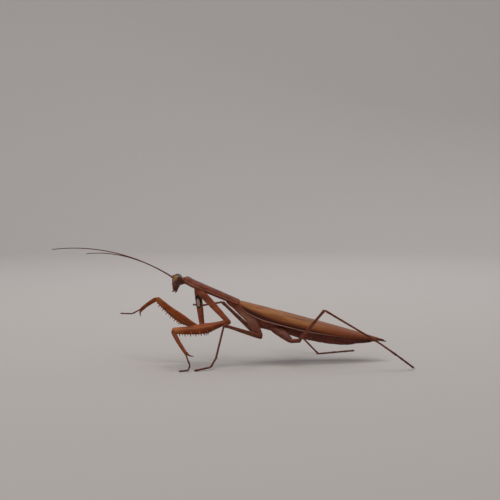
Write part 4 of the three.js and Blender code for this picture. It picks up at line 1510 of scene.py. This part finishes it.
@dataclass(frozen=True)
class SpineRow:
    """A row of spines along a limb: where it runs, how long they are and how they lean."""

    start: float
    end: float
    lengths: tuple[float, ...]
    radius: float
    splay: float
    lean: float
    offset: float = 0.55

    def surface(self, limb: Limb, facing: float = 1.0) -> Surface:
        """Spines standing on the deep side of a limb.

        Args:
            limb: what they grow from.
            facing: 1 or -1, which turns the splay to the other side.

        Returns:
            The spines as one surface.
        """
        lengths = np.array(self.lengths)
        t = np.linspace(self.start, self.end, len(lengths))
        along = limb.along
        inward = square_to(limb.deep, along)
        across = np.cross(along, inward) * facing
        depth, width = curve(limb.depth, t)[:, None], curve(limb.width, t)[:, None]
        roots = limb.centre(t) + inward * depth * 0.78
        roots = roots + across * np.sign(self.splay) * width * self.offset
        point = unit(inward + across * self.splay + along * self.lean)
        tips = roots + point * (lengths[:, None] + 0.12 * depth)
        radius = self.radius * (0.55 + 0.45 * lengths / lengths.max())
        return spines(roots, tips, radius, along * 0.07 * lengths[:, None])


def hairs(limb: Limb, count: int, length: float, seed: int) -> Surface:
    """Fine bristles standing on a limb, leaning to its end.

    Args:
        limb: what they grow from.
        count: how many.
        length: length of the longest.
        seed: seed of their random places.

    Returns:
        The bristles as one surface.
    """
    rng = np.random.default_rng(seed)
    t, turn, size = (rng.uniform(*span, count) for span in ((0.06, 0.98), (0, 2 * np.pi), (0.5, 1)))
    up = square_to(limb.deep, limb.along)
    across = np.cross(limb.along, up)
    out = up * np.sin(turn)[:, None] + across * np.cos(turn)[:, None]
    depth, width = curve(limb.depth, t), curve(limb.width, t)
    girth = np.hypot(depth * np.sin(turn), width * np.cos(turn))[:, None]
    roots = limb.centre(t) + out * girth * 0.9
    tips = roots + unit(out + 0.9 * limb.along) * (length * size)[:, None]
    return spines(roots, tips, np.full(count, 0.018), 0 * tips, rows=3, sides=4)


@dataclass(frozen=True)
class Foot:
    """A five-jointed foot with two claws, which widens to the end of each joint."""

    shares: tuple[float, ...]
    radius: float
    tip_radius: float = 0.14
    claw: float = 0.8
    rows: int = 240
    sides: int = 20

    def surface(self, corners: Array, flat: bool) -> Surface:
        """The foot along straight steps.

        The radius swells to the end of each joint by a saw-tooth smoothed into the next one.

        Args:
            corners: its steps, from the end of the shin.
            flat: whether it lies on the ground.

        Returns:
            The closed surface.
        """
        claw_room = 0.55 * self.claw
        last = corners[-1] - unit(corners[-1] - corners[-2]) * claw_room
        path = rounded_path(np.concatenate((corners[:-1], last[None])), self.rows, 0.9)
        t = np.linspace(0, 1, self.rows)[1:-1]
        marks = np.concatenate(([0], np.cumsum(self.shares))) / sum(self.shares)
        part = np.clip(np.searchsorted(marks, t, side="right") - 1, 0, len(self.shares) - 1)
        within = (t - marks[part]) / (marks[part + 1] - marks[part])
        swell = curve(((0, 0.72), (0.12, 0.86), (0.6, 0.92), (0.9, 1.12), (1, 0.74)), within)
        radius = (self.radius + (self.tip_radius - self.radius) * t) * swell * dome(t, 0.02, 0.03)
        lead = unit(corners[-1] - corners[-2])
        reference = UP if abs(lead[2]) < 0.9 else LEFT
        foot = tube(path, reference, radius, radius * 0.92, self.sides)
        dark = 0.1 + 0.35 * t + 0.5 * hump(within, 1, 0.12)
        foot.with_value("tone", on_rings(dark[:, None], self.sides))
        across = unit(np.cross(lead, reference))
        up = np.cross(across, lead)
        drop = min(0.2, max(0.0, last[2] - 0.05)) if flat else 0.3
        end = last + lead * 0.5 * self.claw - up * drop * 0.6
        ends = [end + across * k * 0.24 for k in (-1, 1)]
        roots = [last - lead * 0.1 + across * k * 0.05 for k in (-1, 1)]
        claws = spines(np.array(roots), np.array(ends), np.array((0.085, 0.085)),
                       np.array((up, up)) * 0.12, rows=12, sides=12)
        return joined([foot, claws])


@dataclass(frozen=True)
class ForeLeg:
    """A catching leg: long coxa, thick spined femur, spined shin with a hook, and a slim foot."""

    plan: LegPlan
    start: float = -0.9
    spot_at: float = 0.36
    spot_size: tuple[float, float] = (1.8, 0.86)
    heart_size: tuple[float, float] = (1.15, 0.5)
    femur_bow: float = 0.95

    def coxa(self, joints: Array) -> Surface:
        """Returns the coxa with its denticles and the values "spot" and "heart"."""
        axis = unit(joints[1] - joints[0])
        fore = square_to(unit(joints[2] - joints[1]), axis)
        limb = Limb(joints[0] + axis * self.start, joints[1] + axis * 0.28, fore,
                    ((0, 0.6), (0.12, 0.85), (0.25, 0.99), (0.5, 0.93), (0.9, 0.7), (1, 0.64)),
                    ((0, 0.3), (0.14, 0.44), (0.27, 0.7), (0.6, 0.62), (0.9, 0.54), (1, 0.54)),
                    round=(0.6, 0.55), rings=110, sides=48, squareness=2.3)
        shell = limb.surface()
        across = np.cross(axis, fore)
        across = across if across[0] * self.plan.side.value < 0 else -across
        local = shell.points - joints[0]
        along = local @ axis - self.spot_at * np.linalg.norm(joints[1] - joints[0])
        deep, inner = local @ fore, local @ across
        for key, half, shift in (("spot", self.spot_size, 0.0), ("heart", self.heart_size, 0.3)):
            far = np.hypot((along - shift) / half[0], deep / half[1])
            shell.with_value(key, np.where(inner > 0.02, far, 3.0))
        shell.with_value("tone", curve(((0.5, 0.5), (4.5, 0.22), (11, 0)), local @ axis))
        small = np.where(np.arange(15) % 3 == 0, 0.3, 0.15)
        teeth = SpineRow(0.22, 0.93, tuple(small), radius=0.12, splay=0.12, lean=0.35,
                         offset=0.2).surface(limb)
        return joined([shell, teeth.with_value("spot", 3.0).with_value("heart", 3.0)])

    def femur(self, joints: Array) -> Surface:
        """Returns the femur with its spines, bristles and knee lobes."""
        axis, shin = unit(joints[2] - joints[1]), unit(joints[3] - joints[2])
        inward = square_to(shin, axis)
        limb = Limb(joints[1] + axis * 0.1, joints[2] + axis * 0.2 - inward * 0.14, inward,
                    ((0, 0.6), (0.13, 0.8), (0.28, 1.12), (0.42, 1.44), (0.54, 1.42), (0.68, 1.22),
                     (0.85, 1.04), (1, 0.86)),
                    ((0, 0.46), (0.2, 0.6), (0.43, 0.68), (0.9, 0.52), (1, 0.48)), self.femur_bow,
                    rings=130, sides=52, squareness=2.2)
        back = np.sin(2 * np.pi * (np.arange(limb.sides) + 0.5) / limb.sides)[None]
        # Painted shade: the deep side is darkened, more strongly on the left leg than on the right.
        strength = 1.7 if self.plan.side is Side.LEFT else 0.8
        shade = curve(((-1, 0.15), (-0.6, 0.03), (-0.1, 0.05), (0.3, 0.3), (1, 0.2)), back)
        shade = shade * strength
        knee = ramp(stations(limb.rings), 0.82, 0.97)[:, None]
        shell = limb.surface().with_value("tone", on_rings(shade * (1 - knee), limb.sides))
        # Painted highlight: a thin pale line along the middle of each face; the knee is paler too.
        shell.with_value("mark", on_rings(0.25 * hump(back, -0.1, 0.12) + 0.4 * knee, limb.sides))
        uneven = tuple(np.where(np.arange(13) % 2 == 0, 0.4, 0.72))
        rows = (
            SpineRow(0.42, 0.84, (0.7, 0.8, 0.8, 0.75), radius=0.27, splay=0.5, lean=0.15),
            SpineRow(0.38, 0.93, uneven, radius=0.19, splay=-0.5, lean=0.12),
            SpineRow(0.34, 0.52, (0.7, 1.1, 1.0, 0.7), radius=0.22, splay=0.02, lean=0.3,
                     offset=0.0),
        )
        across = np.cross(axis, inward)
        lobes = [Limb(joints[2] - axis * 1.3 + across * k * 0.36,
                      joints[2] + axis * 0.36 + across * k * 0.4, inward,
                      ((0, 0.3), (0.7, 0.46), (1, 0.3)), ((0, 0.08), (1, 0.1)), bow=0.05,
                      round=(0.6, 0.3), rings=24, sides=20).surface() for k in (-1, 1)]
        knees = joined(lobes).with_value("tone", 0.12)
        bristles = hairs(limb, count=90, length=0.16, seed=11)
        return joined([shell, knees, bristles,
                       *(row.surface(limb, self.plan.side.value) for row in rows)])

    def trochanter(self, joints: Array) -> Surface:
        """Returns the short ring-like piece that joins the coxa and the femur."""
        axis, coxa = unit(joints[2] - joints[1]), unit(joints[1] - joints[0])
        limb = Limb(joints[1] - axis * 0.6 + coxa * 0.28, joints[1] + axis * 2.1 + coxa * 0.1, coxa,
                    ((0, 0.58), (0.35, 0.72), (1, 0.36)), ((0, 0.5), (0.4, 0.6), (1, 0.36)),
                    bow=0.05, round=(0.5, 0.6), rings=40, sides=36)
        return limb.surface().with_value("tone", 0.3)

    def tibia(self, joints: Array) -> Surface:
        """Returns the shin with its two rows of spines and its end hook."""
        axis, thigh = unit(joints[3] - joints[2]), unit(joints[2] - joints[1])
        inward = square_to(-thigh, axis)
        limb = Limb(joints[2] - axis * 0.1, joints[3] + axis * 0.1, inward,
                    ((0, 0.5), (0.1, 0.62), (0.5, 0.53), (1, 0.42)),
                    ((0, 0.36), (0.2, 0.42), (1, 0.32)), bow=-0.2, round=(0.45, 0.35),
                    rings=90, sides=40, squareness=2.1)
        outer = self.plan.side.value
        growing, longer = tuple(np.linspace(0.16, 0.4, 8)), tuple(np.linspace(0.16, 0.48, 11))
        rows = (SpineRow(0.25, 0.93, growing, radius=0.11, splay=0.5, lean=0.9),
                SpineRow(0.2, 0.95, longer, radius=0.1, splay=-0.5, lean=0.85))
        root, tip = joints[3] - axis * 0.6, joints[3] + axis * 1.35 + inward * 1.5
        claw = Limb(root, tip, inward, ((0, 0.42), (0.5, 0.24), (1, 0.04)),
                    ((0, 0.32), (0.5, 0.2), (1, 0.04)), bow=-0.3, round=(0.2, 0.1), rings=50,
                    sides=24).surface()
        claw.with_value("tone", ramp(claw.values["station"], 0.3, 1, 0.2, 1))
        # Painted shade: the left shin is made darker than the right.
        shell = limb.surface().with_value("tone", 0.27 + 0.08 * outer)
        return joined([shell, claw, *(row.surface(limb, outer) for row in rows)])

    def foot(self, joints: Array) -> Surface:
        """Returns the foot, which is rooted on the outside of the shin's end."""
        axis, thigh = unit(joints[3] - joints[2]), unit(joints[2] - joints[1])
        inward = square_to(-thigh, axis)
        corners = joints[3:].copy()
        corners[0] = corners[0] - 0.2 * inward - 0.1 * axis
        grounded = corners[-1][2] < LIES_BELOW
        foot = Foot((2.9, 1.1, 0.9, 0.7, 1.5), radius=0.24, tip_radius=0.23)
        return foot.surface(corners, grounded)

    def build(self) -> None:
        """Makes and dresses the leg's pieces."""
        joints, name = self.plan.joints(), self.plan.name
        dress(self.coxa(joints), f"{name}_coxa_shell", Dye.ARM_SPOT, f"{name}_coxa")
        dress(self.trochanter(joints), f"{name}_trochanter", Dye.ARM)
        dress(self.femur(joints), f"{name}_femur_spined", Dye.ARM, f"{name}_femur")
        dress(self.tibia(joints), f"{name}_tibia_spined", Dye.ARM, f"{name}_tibia")
        dress(self.foot(joints), f"{name}_foot", Dye.LEG, f"{name}_tarsus")


@dataclass(frozen=True)
class WalkingLeg:
    """A slim leg: ridged hip, short trochanter, straight femur and shin, and a long foot."""

    plan: LegPlan
    hip: float
    thigh: float
    shin: float
    shares: tuple[float, ...]

    def hip_surface(self, joints: Array) -> Surface:
        """Returns the coxa: a cone with a ridge and a groove on either face."""
        axis = unit(joints[1] - joints[0])
        limb = Limb(joints[0] - axis * 1.6, joints[1] + axis * 0.2, square_to(BACKWARD, axis),
                    ((0, self.hip * 1.3), (0.3, self.hip * 1.3), (0.6, self.hip * 1.02), (1, 0.72)),
                    ((0, self.hip * 0.5), (0.3, self.hip * 0.75), (0.6, self.hip * 0.76),
                     (1, 0.58)),
                    round=(0.8, 0.6), rings=80, sides=56)
        surface = limb.surface()
        local = surface.points - limb.start
        angle = np.degrees(np.arctan2(local @ np.cross(axis, square_to(limb.deep, axis)),
                                      local @ square_to(limb.deep, axis)))
        cord = hump(np.abs(angle), 118, 9) - 0.9 * hump(np.abs(angle), 96, 9)
        radial = unit(local - (local @ axis)[:, None] * axis)
        surface.points += radial * (0.06 * cord)[:, None]
        base = 0.35 if self.plan.kind is Kind.HIND else 0.1
        # Painted light: the upper part of the mid coxa is paled to lift the shade that the wing and
        # thorax cast on it.
        pale = 0.85 if self.plan.kind is Kind.MID else 0.0
        surface.with_value("mark", pale * ramp(local @ axis, 1.0, 5.0, 1, 0))
        return surface.with_value("tone", np.clip(base - 0.6 * np.minimum(cord, 0), 0, 1))

    def femur(self, joints: Array) -> Surface:
        """Returns the femur with its knee swelling and its bristles."""
        start = joints[1] + self.plan.trochanter
        axis = unit(joints[2] - start)
        deep = square_to(UP, axis)
        size = self.thigh
        limb = Limb(start - axis * 0.1, joints[2] + axis * 0.04, deep,
                    ((0, size), (0.1, size * 1.15), (0.5, size * 0.98), (0.88, size * 0.78),
                     (0.95, size * 0.92), (1, size * 0.84)),
                    ((0, size * 0.75), (0.1, size * 0.86), (0.85, size * 0.62), (0.95, size * 0.76),
                     (1, size * 0.66)),
                    round=(0.35, 0.35), rings=110, sides=36, squareness=2.2)
        return joined([limb.surface(), hairs(limb, count=110, length=0.2, seed=23)])

    def trochanter(self, joints: Array) -> Surface:
        """Returns the short piece between the coxa and the femur."""
        start, coxa = joints[1] + self.plan.trochanter, unit(joints[1] - joints[0])
        axis = unit(joints[2] - start)
        cuff = Limb(start - axis * 0.45, start + axis * 1.1, square_to(coxa, axis),
                    ((0, 0.5), (0.45, 0.6), (1, 0.36)), ((0, 0.46), (0.45, 0.56), (1, 0.34)),
                    round=(0.45, 0.4), rings=36, sides=32).surface()
        if self.plan.turn[0]:
            lead = unit(self.plan.trochanter)
            bridge = Limb(joints[1] - lead * 0.5, start + lead * 0.22, square_to(axis, lead),
                          ((0, 0.66), (0.5, 0.64), (1, 0.5)), ((0, 0.6), (1, 0.5)), bow=0.08,
                          round=(0.5, 0.6), rings=40, sides=32)
            cuff = joined([cuff, bridge.surface()])
        return cuff.with_value("tone", 0.15)

    def tibia(self, joints: Array) -> Surface:
        """Returns the shin with its bristles and its two end spurs."""
        axis = unit(joints[3] - joints[2])
        deep = square_to(UP, axis)
        size = self.shin
        limb = Limb(joints[2], joints[3] + axis * 0.1, deep,
                    ((0, size * 0.76), (0.05, size * 1.1), (0.14, size * 0.98), (0.9, size * 0.92),
                     (0.97, size * 1.12), (1, size)),
                    ((0, size * 0.66), (0.05, size * 0.74), (0.14, size * 0.84), (1, size * 0.9)),
                    round=(0.3, 0.25), rings=110, sides=32, squareness=2.2)
        across = np.cross(axis, deep)
        roots = np.array([joints[3] - axis * 0.1 - deep * size * 0.6 + across * k * size * 0.6
                          for k in (-1, 1)])
        tips = np.array([joints[3] + axis * 0.62 - deep * size * 1.1 + across * k * size * 1.3
                         for k in (-1, 1)])
        spurs = spines(roots, tips, np.array([0.1, 0.1]), 0 * tips)
        return joined([limb.surface(), spurs, hairs(limb, count=150, length=0.26, seed=37)])

    def build(self) -> None:
        """Makes and dresses the leg's pieces."""
        joints, name = self.plan.joints(), self.plan.name
        grounded = joints[-1][2] < LIES_BELOW
        foot = Foot(self.shares, radius=0.31, tip_radius=0.3).surface(joints[3:], grounded)
        dress(self.hip_surface(joints), f"{name}_coxa_shell", Dye.LEG, f"{name}_coxa")
        dress(self.trochanter(joints), f"{name}_trochanter", Dye.LEG)
        dress(self.femur(joints), f"{name}_femur_slim", Dye.LEG, f"{name}_femur")
        dress(self.tibia(joints), f"{name}_tibia_slim", Dye.LEG, f"{name}_tibia")
        dress(foot, f"{name}_foot", Dye.LEG, f"{name}_tarsus")


# ------------------------------------------------------------------ the whole animal


@dataclass(frozen=True)
class Mantis:
    """The whole animal."""

    head: Head = Head()
    prothorax: Prothorax = Prothorax()
    abdomen: Abdomen = Abdomen()
    tegmen: Tegmen = Tegmen()
    hind_wing: HindWing = HindWing()

    def legs(self) -> list[ForeLeg | WalkingLeg]:
        """Returns the six legs."""
        mid, hind = (2.6, 0.9, 0.8, 0.6, 1.7), (6.3, 1.9, 1.3, 0.9, 2.0)
        legs: list[ForeLeg | WalkingLeg] = []
        for side in Side:
            legs.append(ForeLeg(leg_plan(Kind.FORE, side)))
            legs.append(WalkingLeg(leg_plan(Kind.MID, side), hip=1.15, thigh=0.55, shin=0.28,
                                   shares=mid))
            legs.append(WalkingLeg(leg_plan(Kind.HIND, side), hip=1.25, thigh=0.45, shin=0.28,
                                   shares=hind))
        return legs

    def build(self) -> None:
        """Makes and dresses the animal from the head back."""
        self.head.build()
        for side in Side:
            Feeler(self.head, side).build()
        dress(self.prothorax.neck(self.head.centre), "neck_skin", Dye.SHELL, "neck")
        dress(self.prothorax.surface(), "prothorax_shell", Dye.SHELL, "prothorax")
        dress(thorax_surface(), "thorax_plates", Dye.SHELL, "thorax")
        self.abdomen.build()
        for side in Side:
            name = f"tegmen_{side.word}"
            dress(self.tegmen.surface(side), f"{name}_veined", Dye.WING, name)
            name = f"hind_wing_{side.word}"
            dress(self.hind_wing.surface(side), f"{name}_film", Dye.FOLD, name)
        for leg in self.legs():
            leg.build()


@dataclass(frozen=True)
class Studio:
    """A pale floor that sweeps up all round, soft lamps and the camera."""

    radius: float = 700.0
    corner: float = 260.0
    wall: float = 620.0
    tone: str = "a8a4a1"
    eye: Triple = (240.65, -16.03, 46.67)
    azimuth: float = 85.0
    lift: float = 3.8
    view_degrees: float = 31.75
    sky: str = "f2f4f6"
    sky_strength: float = 0.27

    def floor(self) -> None:
        """Makes the floor: flat, then a quarter circle, then a wall, turned about +Z."""
        flat = np.linspace(20, self.radius - self.corner, 20)
        turn = np.radians(np.linspace(3, 90, 24))
        out = np.concatenate((flat, self.radius - self.corner * (1 - np.sin(turn)), [self.radius]))
        rise = np.concatenate((0 * flat, self.corner * (1 - np.cos(turn)), [self.wall]))
        angle = np.radians(np.arange(96) * 360 / 96)
        rings = np.stack((out[:, None] * np.cos(angle), out[:, None] * np.sin(angle),
                          rise[:, None] + 0 * angle), axis=-1)
        numbers = numbers_of(*rings.shape[:2])
        quads = corners_of(numbers)[:, TURNED]
        middle = np.full(rings.shape[1], rings[..., 0].size)
        fan = np.stack((middle, numbers[0, :-1], numbers[0, 1:]), axis=-1)
        points = np.concatenate((rings.reshape(-1, 3), np.zeros((1, 3))))
        no_uv = np.zeros((len(quads), 4, 2)), np.zeros((len(fan), 3, 2))
        piece = Surface(points, quads, no_uv[0], fan, no_uv[1]).piece("floor")
        graph = Graph("floor_paper")
        graph.shader.inputs["Base Color"].default_value = linear(self.tone)
        graph.shader.inputs["Roughness"].default_value = 0.9
        piece.data.materials.append(graph.material)

    def lamp(self, name: str, place: Array, size: float, watts: float, warmth: str,
             aim: Triple = (0, 0, 15)) -> None:
        """Hangs a square soft lamp.

        Args:
            name: its name.
            place: where it hangs, in millimetres.
            size: its edge, in millimetres.
            watts: its power.
            warmth: its colour as six hex digits.
            aim: the point that it faces, by default the animal.
        """
        data = bpy.data.lights.new(name, "AREA")
        data.shape, data.size, data.energy = "SQUARE", size * MM, watts
        data.color = linear(warmth)[:3]
        lamp = bpy.data.objects.new(name, data)
        back = unit(place - vector(*aim))
        right = unit(np.cross(BACKWARD, back))
        up = np.cross(back, right)
        lamp.matrix_world = pose(place, right, up, back)
        bpy.context.scene.collection.objects.link(lamp)

    def build(self) -> None:
        """Makes the floor, the lamps, the sky and the camera."""
        self.floor()
        self.lamp("lamp_above", vector(60, -30, 520), size=520, watts=1.8, warmth="fffaf4")
        self.lamp("lamp_front", vector(420, -260, 330), size=360, watts=0.7, warmth="fffaf4")
        self.lamp("lamp_behind", vector(-380, 240, 380), size=360, watts=0.5, warmth="f6f8ff")
        self.lamp("lamp_backdrop", vector(-120, 0, 620), size=400, watts=2.4, warmth="f8f8ff",
                  aim=(-700, 0, 330))
        world = bpy.data.worlds.new("soft_sky")
        world.use_nodes = True
        sky = next(n for n in world.node_tree.nodes if n.type == "BACKGROUND")
        sky.inputs["Color"].default_value = linear(self.sky)
        sky.inputs["Strength"].default_value = self.sky_strength
        bpy.context.scene.world = world
        bpy.context.scene.view_settings.view_transform = "Standard"
        data = bpy.data.cameras.new("camera")
        data.angle = math.radians(self.view_degrees)
        data.clip_start, data.clip_end = 0.01, 10.0
        camera = bpy.data.objects.new("camera", data)
        back = direction(self.azimuth, self.lift)
        right = unit(np.cross(UP, back))
        camera.matrix_world = pose(np.array(self.eye), right, np.cross(back, right), back)
        bpy.context.scene.collection.objects.link(camera)
        bpy.context.scene.camera = camera


def pose(place: Array, right: Array, up: Array, back: Array) -> Matrix:
    """Returns the matrix of a lamp or camera at a place in millimetres, with its three axes."""
    rows = np.column_stack((right, up, back, place * MM))
    return Matrix(rows.tolist() + [[0, 0, 0, 1]])


def main() -> None:
    """Builds the studio and the animal."""
    logging.basicConfig(level=logging.INFO, format="%(name)s %(message)s")
    Studio().build()
    Mantis().build()


if __name__ == "__main__":
    main()
